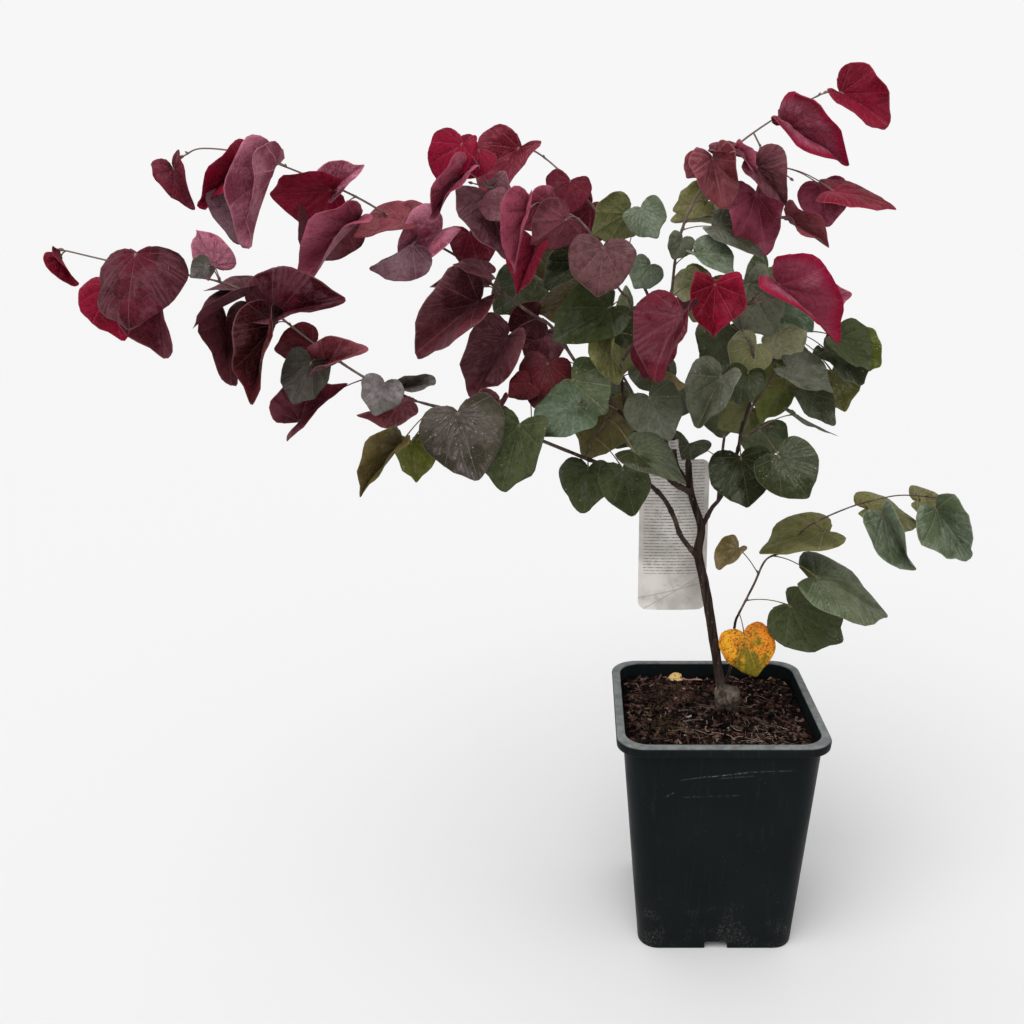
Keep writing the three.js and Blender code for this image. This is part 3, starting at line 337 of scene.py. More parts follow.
            (121, 60, 606, 55, 22, 12, 0, 10, 10, "olive"),
            (65, 26, 602, 63, -34, 5, 175, 50, 10, "bright"),
            (28, 28, 574, 48, -56, 5, 175, 10, 10, "olive"),
            (53, 14, 654, 46, 45, 13, -10, 10, 10, "pale"),
        ],
    ),
    (
        "foliage_right_low",
        [
            limb(1.2, 0.8, (15, -10, 546), (27, -16, 556), (36, -24, 562), (42, -28, 564)),
        ],
        [
            (14, -26, 532, 65, 10, 20, 0, 8, 10, "deep"),
            (49, -44, 537, 63, 36, 18, 0, 16, 10, "dark"),
            (70, -10, 573, 62, 60, 0, 85, 5, 5, "green"),
        ],
    ),
    (
        "foliage_centre_rear",
        [
            limb(1.4, 1, (-51, 20, 548), (-56, 25, 582), (-58, 30, 606)),
        ],
        [
            (-79, -31, 594, 60, 28, 10, 0, 14, 10, "grey"),
            (-92, 8, 569, 56, 47, 13, -45, 40, 10, "bronze"),
            (-71, 4, 598, 39, 101, 6, -60, 20, 10, "buff"),
        ],
    ),
    (
        "foliage_back_left",
        [
            limb(
                2, 0.9, (-73, -20, 542), (-92, 20, 588), (-128, 70, 640), (-170, 115, 684),
                (-214, 150, 712),
                seed=11, start=20, stop=0, pitch=36, size=62, swing=-10, spread=40, below=85, above=40,
                tints=("dark", "bronze", "darkmaroon", "olive"),
            ),
        ],
        [
        ],
    ),
    (
        "foliage_back_middle",
        [
            limb(
                2, 0.9, (-50, 18, 545), (-60, 62, 590), (-82, 118, 626), (-104, 170, 650),
                seed=13, start=20, stop=0, pitch=34, size=62, swing=0, spread=40, below=85, above=40,
                tints=("dark", "green", "olive", "grey"),
            ),
        ],
        [
        ],
    ),
    (
        "foliage_back_right",
        [
            limb(
                2, 0.9, (-4, -2, 481), (6, 40, 540), (24, 90, 604), (38, 140, 660), (44, 180, 700),
                seed=12, start=45, stop=0, pitch=36, size=62, swing=10, spread=40, below=85, above=40,
                tints=("dark", "green", "olive", "grey"),
            ),
        ],
        [
        ],
    ),
    (
        "foliage_base_shoot",
        [
            limb(
                1.5, 0.7, (25, 12, 351), (39, 10, 384), (50, 5, 414), (68, 0, 426), (89, -5, 453),
                (126, -10, 474), (157, -10, 484), (188, -10, 489), (239, -10, 484),
            ),
        ],
        [
            (26, -22, 341, 60, 18, 32, 0, -8, 12, "yellow"),
            (75, -10, 368, 85, 56, 12, 8, 40, 10, "dark"),
            (94, -38, 410, 109, 66, 7, -73, 6, 5, "green"),
            (107, -6, 449, 88, -78, 5, 80, 8, 5, "olive"),
            (21, 12, 425, 41, -49, 13, 42, 48, 10, "buff"),
            (161, -26, 471, 84, 32, 14, 14, 64, 10, "frost"),
            (215, -26, 478, 77, 35, 15, 8, 63, 10, "frost"),
            (156, 12, 469, 73, 75, 2, -76, 6, 5, "olive"),
            (213, 20, 475, 66, 70, 3, -70, 6, 5, "olive"),
        ],
    ),
]

# Each tint: colour of the upper side and of the underside, as red, green and blue up to 255. Some hold painted
# light:
# the bright crimson and flame paint light shining through the blade, grey, purple, slate and silver partly
# paint a sheen on it, and a leaf is sometimes given a lighter or darker tint to paint how lit or shaded it is.
TINTS = {
    "crimson": ((127, 5, 39), (132, 49, 63)),
    "claret": ((73, 17, 30), (94, 46, 56)),
    "wine": ((118, 27, 46), (115, 43, 59)),
    "rose": ((175, 108, 127), (173, 115, 129)),
    "flame": ((132, 9, 46), (141, 5, 33)),
    "magenta": ((148, 71, 90), (143, 85, 99)),
    "maroon": ((94, 31, 43), (101, 54, 61)),
    "brownred": ((127, 66, 71), (118, 83, 85)),
    "umber": ((73, 25, 25), (68, 41, 37)),
    "purple": ((118, 78, 85), (115, 92, 99)),
    "mauve": ((87, 66, 65), (101, 85, 85)),
    "darkmaroon": ((86, 45, 49), (92, 56, 61)),
    "dark": ((60, 64, 42), (80, 82, 64)),
    "deep": ((36, 40, 16), (60, 62, 43)),
    "green": ((80, 88, 62), (91, 97, 73)),
    "blue": ((72, 86, 68), (91, 101, 82)),
    "frost": ((106, 116, 98), (106, 114, 97)),
    "olive": ((106, 101, 57), (108, 106, 69)),
    "bright": ((99, 102, 35), (110, 114, 53)),
    "tan": ((103, 91, 57), (120, 112, 84)),
    "buff": ((133, 112, 75), (131, 116, 84)),
    "pale": ((152, 148, 118), (148, 142, 116)),
    "yellow": ((229, 154, 33), (206, 154, 57)),
    "grey": ((91, 91, 80), (99, 99, 88)),
    "bronze": ((91, 73, 42), (88, 75, 50)),
    "slate": ((69, 59, 55), (78, 69, 69)),
    "silver": ((84, 72, 75), (97, 88, 91)),
}
# Tints of the leaves on red stalks
RED_TINTS = (
    "crimson", "claret", "wine", "rose", "flame", "magenta", "maroon", "brownred", "umber", "purple", "mauve",
    "darkmaroon",
)

# ---- the pot, soil, tag, finishes and stage ----
POT_HEIGHT = 254
POT_BOTTOM = 167
POT_TOP = 206
POT_WALL = 2.2
POT_FLOOR = 4
POT_CORNER = 21.5  # at the bottom; it grows with the width
RIM_WIDTH = 220
RIM_HEIGHT = 11
RIM_ROUND = 3.6
RIM_STEPS = 5
RIM_DRAFT = 1.2  # by which the rim is narrower at its foot
EDGE_ROUND = 1.3
EDGE_STEPS = 4
NOTCH_WIDTH = 25
NOTCH_HEIGHT = 9
NOTCH_DEPTH = 14
NOTCH_ROUND = 2.6
POCKET_ROUND = 0.8
DRAIN_RADIUS = 6
DRAIN_OFFSET = 46

# Scratches on the pot: least and most x, height at the least x, slope and strength
SCRATCHES = [
    (-0.0472, -0.0114, 0.2128, 0.152, 0.45),
    (-0.0212, 0.0242, 0.2165, 0.120, 0.8),
    (0.0080, 0.0730, 0.2219, 0.040, 0.35),
    (-0.0090, 0.0315, 0.2149, 0.084, 0.35),
    (-0.0631, -0.0485, 0.1908, 0.636, 0.6),
    (-0.0434, 0.0222, 0.1926, 0.038, 0.25),
]
SCRATCH_STRENGTH = 0.62

SOIL_LEVEL = 239
SOIL_HALF = 99.8
SOIL_CORNER = 24
SOIL_LOW = 14
SOIL_LOW_HALF = 82
SOIL_RINGS = 46
SOIL_SIDES = 168
SOIL_SINK = 1.5
# Swells and crumbs of the soil's surface: height, cells to a millimetre, and level in the noise
SOIL_WAVES = [(3.0, 0.03, 1.7), (1.6, 0.12, 9.1), (0.9, 0.33, 4.4)]
# Mounds on it: height, x, y, and square of the spread
SOIL_MOUNDS = [(2.5, 12, -2, 900), (5.5, 2, -14, 170)]
CHIP_SEED = 5
CHIP_MIX = (0.56, 0.8, 0.968, 0.995)  # a chip whose draw is past each of these has the next finish
CHIP_LENGTHS = ((4, 18), (4, 18), (4, 18), (4, 7), (4, 7))  # for each finish
CHIP_WIDTH = (1.3, 4.2)
CHIP_THICKNESS = (0.7, 2.2)
CHIP_JITTER = (0.72, 1.22)  # of each corner, in half sizes
PALE_SLIM = 0.7  # of the width of a pale chip
CHIP_BOX = [(-1, -1, -1), (1, -1, -1), (1, 1, -1), (-1, 1, -1), (-1, -1, 1), (1, -1, 1), (1, 1, 1), (-1, 1, 1)]
CHIP_SIDES = [(0, 3, 2, 1), (4, 5, 6, 7), (0, 1, 5, 4), (1, 2, 6, 5), (2, 3, 7, 6), (3, 0, 4, 7)]
STRAND_SEED = 23
FALLEN_SEED = 77
FALLEN_PLACE = (-30, 87)
FALLEN_LEAF = (19, -90, 0, 82, 14, 10, "yellow")  # blade length, swing, lean, turn, fold, curl, tint
FALLEN_THICKNESS = 0.4
STRAND_STEPS = 8
# Strands on the soil: how many, finish, radius, least and most length, bend in radians, lift, and the middle
# of their clump with its share of the soil's width
STRANDS = [
    (150, 0, 0.26, (8, 28), 1.4, 2.4, (0, 0, 1.0)),
    (26, 1, 0.27, (8, 20), 0.9, 2.4, (0, 0, 1.0)),
    (130, 0, 0.26, (10, 30), 2.4, 4.5, (-70, 60, 0.32)),
    (12, 1, 0.36, (18, 42), 3.0, 3.5, (14, -62, 0.6)),
    (40, 1, 0.24, (7, 18), 2.0, 3.5, (66, -68, 0.24)),
    (90, 2, 0.26, (7, 20), 1.6, 3.5, (-80, -42, 0.24)),
]

# Thicker roots on the soil, as (x, y)
SURFACE_ROOTS = [
    [
        (-36, -22), (-22, -18), (-11, -27), (-14, -43), (-8, -47), (0, -50), (10, -58), (16, -67), (30, -65),
        (40, -72),
    ],
    [(-38, -28), (-28, -36), (-20, -46), (-10, -53), (-2, -49), (6, -44)],
    [(14, -66), (20, -76), (27, -82)],
]
ROOT_RADIUS = 0.8

TAG_WIDTH = 74
TAG_HEIGHT = 168
TAG_CORNER = 9
TAG_MIDDLE = (-47, 24)
TAG_TOP = 519
TAG_NECK = 11
CARD_THICKNESS = 0.6
CARD_BOW = 3.2
CARD_LEAN = 1.3
CARD_STEPS = 24  # across each half, and up
LOOP_SIDES = 28
LINK_THICKNESS = 1.2
LOOP_WIDTH = 9
LOOP_LEVEL = 536
LOOP_INSIDE = 3.5
LOOP_THICKNESS = 1.0
RULE_SPACING = 0.0034  # of the card's ruled lines, in metres
RULES_FROM = 0.392  # height of the lowest
CARD_CREASES = [(0.62, 0.4), (0.25, 0.385)]  # slope and start of each soft line of painted shade where the card is creased

BLACK = (0, 0, 0)
WHITE = (1, 1, 1)
SIDE_VEIN_SPACING = 7.0
# Strength of a tint's painted sheen, a painted reflection in streaks and patches over the blade, if not 1
PAINTED_SHEEN = {"silver": 4.5, "slate": 1.3, "flame": 3.0, "mauve": 1.3, "purple": 1.5, "rose": 1.3, "crimson": 0.5}
RED_RATIO = 1.6  # a blade is red when its red is more than this times its green
STREAKY_PAINTED_SHEEN = 2  # a red blade with more painted sheen has streaks of it nearly all over
WARM_PAINTED_SHEEN = 1.2  # a green blade with more painted sheen has a warmer one
# Colours that the painted sheen, a painted reflection, adds to a streaky red blade and to a warm green one
STREAKY_PAINTED_SHEEN_SHIFT = (0.03, 0.034, 0.042)
WARM_PAINTED_SHEEN_SHIFT = (0.062, 0.054, 0.058)
# A red blade and a green one: the factors of its deep colour, its fresh colour, and what a painted sheen (a
# painted reflection), a vein and the margin add to its colour; the margin's is a pale edge that is partly a
# painted highlight
RED_SKIN = {
    "specular": 0.05,
    "deep": (0.5, 0.25, 0.32),
    "fresh": (0.36, 0.01, 0.05),
    "painted_sheen_shift": (0.054, 0.032, 0.038),
    "veins": (0.075, 0.045, 0.05),
    "margin": (0.11, 0.07, 0.07),
}
GREEN_SKIN = {
    "specular": 0.08,
    "deep": (0.48, 0.52, 0.36),
    "fresh": (0.15, 0.2, 0.06),
    "painted_sheen_shift": (0.062, 0.066, 0.056),
    "veins": (0.06, 0.065, 0.04),
    "margin": (0.08, 0.085, 0.06),
}
SKIN_RELIEF = 0.0009
DUST = (0.4, 0.42, 0.36)
YELLOW_MIDDLE = 0.0285
YELLOW_SPAN = (0.290, 0.361)  # heights of the turning leaf's tip and lobes, in metres

FLOOR_SIDE = 60.0
WORLD_LIGHT = 0.93
SUN_LIGHT = 1.9
SUN_SPREAD = 50  # degrees
SUN_TURN = (32, 0, -28)  # degrees
CAMERA_PLACE = (-0.145, -1.052, 0.760)
CAMERA_PITCH = 15.5
CAMERA_LENS = 36.81
CAMERA_SHIFT = -0.0684


def between(span, share):
    return span[0] + (span[1] - span[0]) * share


def random_from(seed):
    """A repeatable source of numbers from 0 to 1, by the mulberry32 rule."""
    state = seed & 0xFFFFFFFF

    def draw():
        nonlocal state
        state = (state + 0x6D2B79F5) & 0xFFFFFFFF
        mixed = ((state ^ (state >> 15)) * (state | 1)) & 0xFFFFFFFF
        mixed ^= (mixed + ((mixed ^ (mixed >> 7)) * (mixed | 61) & 0xFFFFFFFF)) & 0xFFFFFFFF
        return (mixed ^ (mixed >> 14)) / 4294967296

    return draw


def smooth_between(a, b, c, d, t):
    """The place at a share of the way from b to c, on a smooth curve through a, b, c and d."""
    from_slope = (c - a) / 2
    to_slope = (d - b) / 2
    return (
        b
        + from_slope * t
        + (3 * (c - b) - 2 * from_slope - to_slope) * t**2
        + (2 * (b - c) + from_slope + to_slope) * t**3
    )


class Line:
    """A smooth line through a few points, with the distance along it at each step."""

    def __init__(self, path, steps=SPAN_STEPS):
        knots = [Vector(p) for p in path]
        knots = [2 * knots[0] - knots[1], *knots, 2 * knots[-1] - knots[-2]]
        self.points = []
        for four in zip(knots, knots[1:], knots[2:], knots[3:]):
            self.points += [smooth_between(*four, k / steps) for k in range(steps)]
        self.points.append(knots[-2].copy())
        self.run = [0.0]
        for before, after in zip(self.points, self.points[1:]):
            self.run.append(self.run[-1] + (after - before).length)
        self.length = self.run[-1]

    def at(self, distance):
        """The place and direction at a distance along the line."""
        along = min(max(distance, 0), self.length)
        step = 0
        while step < len(self.points) - 2 and self.run[step + 1] <= along:
            step += 1
        start, end = self.points[step], self.points[step + 1]
        share = (along - self.run[step]) / (self.run[step + 1] - self.run[step])
        return start.lerp(end, share), (end - start).normalized()

    def nearest(self, point):
        """The distance along the line of its step nearest to a point, and how far off the point is."""
        apart = [(p - point).length for p in self.points]
        best = apart.index(min(apart))
        return self.run[best], apart[best]


def reach_at(degrees):
    """Distance from the stalk's end to the margin at an angle from the tip, in midrib lengths."""
    degrees = np.abs(np.asarray(degrees, float))
    last = len(REACH) - 1
    step = np.minimum((degrees / REACH_STEP).astype(int), last - 1)
    four = (np.array(REACH)[np.minimum(np.abs(step + k), last)] for k in (-1, 0, 1, 2))
    smooth = smooth_between(*four, degrees / REACH_STEP - step)
    return smooth + TIP_LENGTH * np.exp(-((degrees / TIP_SHARPNESS) ** 2))


class Leaf:
    """A leaf's place and pose. Its blade is made later, by Blades."""

    def __init__(self, base, size, swing, lean, turn, fold, curl, tint):
        self.base = Vector(base)
        self.size = size
        self.fold = math.radians(fold)
        self.curl = math.radians(curl) / size
        self.midrib = size * MIDRIB
        self.tint = tint
        s, l, t = (math.radians(a) for a in (swing, lean, turn))
        self.along = Vector((math.sin(s) * math.cos(l), -math.sin(l), -math.cos(s) * math.cos(l)))
        front = Vector((0, -1, 0))
        facing = (front - self.along * front.dot(self.along)).normalized()
        beside = self.along.cross(facing)
        self.normal = facing * math.cos(t) + beside * math.sin(t)
        self.across = self.along.cross(self.normal)

    def place(self, u, w):
        """The place of a point of the flat blade, u along the midrib and w across it."""
        rise = abs(w) * math.sin(self.fold)
        along, up = u, rise
        if abs(self.curl) > 1e-9:
            angle = self.curl * u
            along = math.sin(angle) / self.curl + rise * math.sin(angle)
            up = (math.cos(angle) - 1) / self.curl + rise * math.cos(angle)
        sideways = self.across * (w * math.cos(self.fold))
        return self.base + self.along * along + sideways + self.normal * up

    def margin(self, degrees, share):
        reach = float(reach_at(degrees)) * self.midrib * share
        turn = math.radians(degrees)
        return self.place(reach * math.cos(turn), reach * math.sin(turn))

    def probes(self):
        angles = [-180 + 360 * k / PROBE_ANGLES for k in range(1, PROBE_ANGLES + 1)]
        return [self.margin(degrees, share) for degrees in angles for share in PROBE_REACHES]

    def stalk(self, foot, steps):
        """The arching stalk from its foot to the blade and a little way inside it."""
        middle = foot.lerp(self.base, 0.5)
        middle.z += STALK_ARCH * (self.base - foot).length
        points = []
        for k in range(steps + 1):
            t = k / steps
            points.append((1 - t) ** 2 * foot + 2 * t * (1 - t) * middle + t**2 * self.base)
        return [*points, self.place(STALK_ROOT * self.midrib, 0)]


def foot_for(lines, base):
    """The foot of a set leaf's stalk lies back along the nearest of the mass's stems."""
    line, (distance, apart) = min(
        ((line, line.nearest(base)) for line in lines), key=lambda found: found[1][1]
    )
    return line.at(max(distance - STALK_LEAN * apart, 0))[0]


def sown_leaf(sown, foot, direction, side, draws):
    """A leaf on a stalk from a foot, turned out by eight numbers from 0 to 1."""
    angle_draw, reach, swing, lean, turn, size, fold, curl = draws
    level = direction.cross(Vector((0, 0, 1))).normalized()
    upward = level.cross(direction)
    angle = math.radians(side * between(SOWN_ROUND, angle_draw))
    outward = direction * SOWN_FORWARD + upward * math.cos(angle) + level * math.sin(angle)
    outward.normalize()
    behind = outward.y > FACES_BACK
    tints = sown["tints"]
    return Leaf(
        foot + outward * between(SOWN_STALK, reach),
        sown["size"] * between(SOWN_SIZE, size),
        sown["swing"] + between([-sown["spread"], sown["spread"]], swing),
        (-1 if behind else 1) * between(SOWN_LEAN, lean),
        (180 if behind else 0) + between(SOWN_TURN, turn),
        between(SOWN_FOLD, fold),
        between(SOWN_CURL, curl),
        tints[int(fold * TINT_DRAW) % len(tints)],
    )


def sow_leaves(line, sown, feet, taken):
    """Leaves on alternate sides at each node of a stem that no set leaf has taken, where there is room."""
    draw = random_from(sown["seed"])
    grown = []
    side = 1
    distance = sown["start"]
    while distance < line.length - sown["stop"]:
        foot, direction = line.at(distance)
        busy = any((other - foot).length < NODE_SPACE * sown["pitch"] for other in feet)
        side = -side
        for _ in range(TRIES):
            leaf = sown_leaf(sown, foot, direction, side, [draw() for _ in range(DRAWS)])
            probes = leaf.probes()
            low = min(p.z for p in probes) - foot.z
            high = max(p.z for p in probes) - foot.z
            inside = low > -sown["below"] and high < sown["above"]
            places = np.array(probes)[:, None, :]
            if busy or not inside:
                continue
            if np.linalg.norm(places - np.array(taken)[None], axis=2).min() >= CLEARANCE:
                taken.extend([*probes, *leaf.stalk(foot, STALK_STEPS)])
                grown.append((foot, leaf))
                break
        distance += sown["pitch"] * between(SOWN_STEP, draw())
    return grown


def grow_masses():
    """For each mass, the lines of its stems, and each of its leaves with the foot of its stalk."""
    masses = []
    for name, stems, set_leaves in MASSES:
        lines = [Line(stem["path"]) for stem in stems]
        leaves = [Leaf(row[:3], *row[3:]) for row in set_leaves]
        grown = [(foot_for(lines, leaf.base), leaf) for leaf in leaves]
        masses.append({"name": name, "stems": stems, "lines": lines, "grown": grown})
    taken = [p for solid in (TRUNK, *BOUGHS.values()) for p in Line(solid["path"]).points]
    taken += [p for mass in masses for line in mass["lines"] for p in line.points]
    for mass in masses:
        for foot, leaf in mass["grown"]:
            taken += [*leaf.probes(), *leaf.stalk(foot, STALK_STEPS)]
    for mass in masses:
        for stem, line in zip(mass["stems"], mass["lines"]):
            if stem["sown"]:
                feet = [foot for foot, leaf in mass["grown"]]
                mass["grown"] += sow_leaves(line, stem["sown"], feet, taken)
    return {mass["name"]: mass for mass in masses}


# ---- meshes ----
def start_clean():
    """Leaves edit mode and deselects everything, so that operators act only on what comes next."""
    if bpy.context.object and bpy.context.object.mode != "OBJECT":
        bpy.ops.object.mode_set(mode="OBJECT")
    bpy.ops.object.select_all(action="DESELECT")


class Shape:
    """Vertices and faces gathered for one mesh, with a material for each face."""

    def __init__(self):
        self.places = []
        self.faces = []
        self.slots = []

    def add(self, places, faces, slot=0):
        start = len(self.places)
        self.places.extend(places)
        self.faces.extend(tuple(start + i for i in face) for face in faces)
        self.slots.extend([slot] * len(faces) if isinstance(slot, int) else slot)

    def build(self, name, materials, smooth=True):
        """Makes the object, from millimetres to metres."""
        mesh = bpy.data.meshes.new(name)
        mesh.from_pydata([tuple(c * MM for c in p) for p in self.places], [], self.faces)
        for material in materials:
            mesh.materials.append(material)
        mesh.polygons.foreach_set("material_index", self.slots)
        mesh.polygons.foreach_set("use_smooth", [smooth] * len(self.faces))
        mesh.update()
        made = bpy.data.objects.new(name, mesh)
        bpy.context.scene.collection.objects.link(made)
        return made


def ring_faces(rings, sides):
    """Faces of a closed skin over rings of points, with an end at its first and last ring."""
    faces = []
    for ring in range(rings - 1):
        for k in range(sides):
            a, b = ring * sides + k, ring * sides + (k + 1) % sides
            faces.append((a, b, b + sides, a + sides))
    last = (rings - 1) * sides
    return [*faces, tuple(reversed(range(sides))), tuple(range(last, last + sides))]


def direction_at(points, i):
    return (points[min(i + 1, len(points) - 1)] - points[max(i - 1, 0)]).normalized()


def square_to(direction, vector):
    """The part of a vector that is square to a direction, one long."""
    return (vector - direction * vector.dot(direction)).normalized()


def around(centre, side, up, radius, angle):
    return centre + side * (radius * math.cos(angle)) + up * (radius * math.sin(angle))


def tube(points, radius_at, sides):
    """A closed tube along points. radius_at gives the radius for a ring's number and a side's angle."""
    places = []
    side = Vector((0.31, -0.87, 0.38)).cross(direction_at(points, 0))
    for i, point in enumerate(points):
        direction = direction_at(points, i)
        side = square_to(direction, side)
        up = direction.cross(side)
        for k in range(sides):
            angle = 2 * math.pi * k / sides
            places.append(around(point, side, up, radius_at(i, angle), angle))
    return places, ring_faces(len(points), sides)


def finish_piece(piece, slot, *nodes):
    """The piece rides with the plant and stands for its CAD nodes, which it hides. Its slot is not used."""
    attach(piece, BODY)
    if nodes:
        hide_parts(*nodes)
    return piece


# ---- materials ----
class Field:
    """A value that varies over a material. Plain arithmetic on it is done by nodes."""

    def __init__(self, paint, socket):
        self.paint = paint
        self.socket = socket

    def math(self, operation, *values):
        made = self.paint.node("ShaderNodeMath", operation=operation)
        for value, target in zip((self, *values), made.inputs):
            self.paint.wire(value, target)
        return Field(self.paint, made.outputs[0])

    def __add__(self, other):
        return self.math("ADD", other)

    def __sub__(self, other):
        return self.math("SUBTRACT", other)

    def __mul__(self, other):
        return self.math("MULTIPLY", other)

    def __truediv__(self, other):
        return self.math("DIVIDE", other)

    def __abs__(self):
        return self.math("ABSOLUTE")

    def fraction(self):
        return self.math("FRACT")

    def at_least(self, other):
        return self.math("MAXIMUM", other)

    def ramp(self, low, high, bottom=0.0, top=1.0):
        """Maps low..high smoothly to bottom..top, and holds it there outside."""
        made = self.paint.node("ShaderNodeMapRange", interpolation_type="SMOOTHSTEP")
        for value, target in zip((self, low, high, bottom, top), made.inputs):
            self.paint.wire(value, target)
        return Field(self.paint, made.outputs["Result"])


class Paint:
    """A material under construction: a Principled surface, its nodes, and the tone laid on it so far."""

    def __init__(self, name, roughness, specular):
        self.material = bpy.data.materials.new(name)
        self.material.use_nodes = True
        self.tree = self.material.node_tree
        self.surface = self.tree.nodes["Principled BSDF"]
        self.set("Roughness", roughness)
        self.set("Specular IOR Level", specular)
        self.coordinates = Field(self, self.node("ShaderNodeTexCoord").outputs["Object"])
        self.tone = None

    def node(self, kind, **settings):
        made = self.tree.nodes.new(kind)
        for name, value in settings.items():
            setattr(made, name, value)
        return made

    def wire(self, source, target):
        """Links a field to an input, or sets the input to a plain value or colour."""
        if isinstance(source, Field):
            self.tree.links.new(source.socket, target)
        elif target.type == "RGBA":
            target.default_value = (*source, 1.0)
        else:
            target.default_value = source

    def set(self, name, source):
        self.wire(source, self.surface.inputs[name])

    def mix(self, share, first, second):
        """The first colour with a share of the second."""
        made = self.node("ShaderNodeMix", data_type="RGBA")
        colours = [socket for socket in made.inputs if socket.type == "RGBA"]
        for source, target in zip((share, first, second), (made.inputs["Factor"], *colours)):
            self.wire(source, target)
        return Field(self, next(socket for socket in made.outputs if socket.type == "RGBA"))

    def lay(self, share, colour):
        """Lays a share of a colour over the tone so far."""
        self.tone = self.mix(share, self.tone, colour)

    def upright(self, stretch):
        """The object's own coordinates, with the upright one scaled to draw a pattern out."""
        if stretch == 1:
            return self.coordinates
        made = self.node("ShaderNodeMapping")
        made.inputs["Scale"].default_value = (1, 1, stretch)
        self.wire(self.coordinates, made.inputs["Vector"])
        return Field(self, made.outputs["Vector"])

    def noise(self, scale, detail=3.0, rough=0.55, stretch=1, place=None):
        """Noise on the object's own coordinates, in cells to a metre, or on a place that is given."""
        made = self.node("ShaderNodeTexNoise")
        made.inputs["Scale"].default_value = scale
        made.inputs["Detail"].default_value = detail
        made.inputs["Roughness"].default_value = rough
        self.wire(place or self.upright(stretch), made.inputs["Vector"])
        return Field(self, made.outputs["Fac"])

    def cells(self, scale, feature="F1", stretch=1):
        made = self.node("ShaderNodeTexVoronoi", feature=feature)
        made.inputs["Scale"].default_value = scale
        self.wire(self.upright(stretch), made.inputs["Vector"])
        return Field(self, made.outputs["Distance"])

    def attribute(self, name):
        return Field(self, self.node("ShaderNodeAttribute", attribute_name=name).outputs["Fac"])

    def place(self):
        """The object's own coordinates as three fields, in metres."""
        made = self.node("ShaderNodeSeparateXYZ")
        self.wire(self.coordinates, made.inputs[0])
        return [Field(self, socket) for socket in made.outputs]

    def joined(self, x, y, z):
        made = self.node("ShaderNodeCombineXYZ")
        for source, target in zip((x, y, z), made.inputs):
            self.wire(source, target)
        return Field(self, made.outputs[0])

    def done(self, height, depth, strength=1.0):
        """The finished material, with its tone and the relief of a height."""
        made = self.node("ShaderNodeBump")
        made.inputs["Distance"].default_value = depth
        made.inputs["Strength"].default_value = strength
        self.wire(height, made.inputs["Height"])
        self.set("Normal", Field(self, made.outputs["Normal"]))
        self.set("Base Color", self.tone)
        return self.material


def linear(*screen):
    """A colour of the screen, 0 to 255, as light."""
    return tuple(((c / 255 + 0.055) / 1.055) ** 2.4 if c > 10 else c / 255 / 12.92 for c in screen)


def blended(first, second, share):
    return tuple(a + (b - a) * share for a, b in zip(first, second))


def raised(colour, more, times=1.0):
    return tuple(c + times * k for c, k in zip(colour, more))


# ---- the leaf blade ----
VEINS = [-136, -100, -66, -33, 0, 33, 66, 100, 136]  # degrees from the tip
LAST_ANGLES = [150, 162, 172]  # of the blade's lines between the last vein and the notch
BETWEEN_VEINS = [0.27, 0.5, 0.73]
BESIDE_TIP = [0.3, 0.6, 0.8, 0.91]  # shares of the gap beside the tip's vein, from the other vein
RINGS = [0.1, 0.21, 0.33, 0.45, 0.57, 0.68, 0.78, 0.87, 0.945, 1.0]  # shares of the way to the margin
VEIN_WIDTH = [0.75, 0.32]  # half width of a vein at the stalk and at the margin
VEIN_RISE = [0.5, 0.08]
SIDES = ("upper", "under")
# Each leaf has a seed of its own
MASS_SEEDS = 1000
LEAF_SEEDS = 7
FIRST_SEED = 3
CALM = [0.45, 1.0]  # how much a blade waves, when it is seen edge on from the front and when it faces it
RIM_THIN = 0.45  # thickness at the margin, of the blade's own
RIM_SPREAD = 1.03  # of the margin's lower edge in the bake's layout
FOLD_ROUND = 0.07  # how softly the midrib folds, in blade lengths
# How far a blade is from its plain shape, as shares of its size
LOPSIDED = 0.05
UNEVEN = 0.05
RIPPLE = [0.03, 0.085]  # of the margin, least and most
ROLL = [0.015, 0.085]  # of the margin, least and most
QUILT = 0.013  # between the veins
WARP = 0.075
PUCKER = 0.012
TWIST = 0.55
CUP = 0.5
DROOP = 0.22
BAKE_SPAN = 1.4  # side of a leaf's cell of the bake's layout, in blade lengths


def blade_columns():
    """The lines that run out from the stalk's end: base angle, side of its vein, and share of the vein gap."""
    columns = [(-a, 0, 1.0) for a in reversed(LAST_ANGLES)]
    for i, vein in enumerate(VEINS):
        columns += [(vein, -1, 0.0), (vein, 0, 0.0), (vein, 1, 0.0)]
        if i + 1 < len(VEINS):
            gap = VEINS[i + 1] - vein
            shares = BETWEEN_VEINS
            if 0 in (vein, VEINS[i + 1]):
                shares = BESIDE_TIP if vein else [1 - s for s in reversed(BESIDE_TIP)]
            columns += [(vein + gap * share, 0, share) for share in shares]
    columns += [(a, 0, 1.0) for a in LAST_ANGLES]
    return columns


COLUMNS = blade_columns()


def waves(draw, count, low, high):
    """A random even wave of an angle, made of a few sines."""
    terms = [(low + k * (high - low) / (count - 1), draw() * 6.283, 0.5 + draw()) for k in range(count)]
    return lambda angle: sum(s * np.sin(f * angle + p) for f, p, s in terms) / count


def warped(across, up):
    """Smooth noise at each place of a sheet."""
    return np.array([[noise.noise(Vector((u, w, 0.5))) for u, w in zip(us, ws)] for us, ws in zip(across, up)])


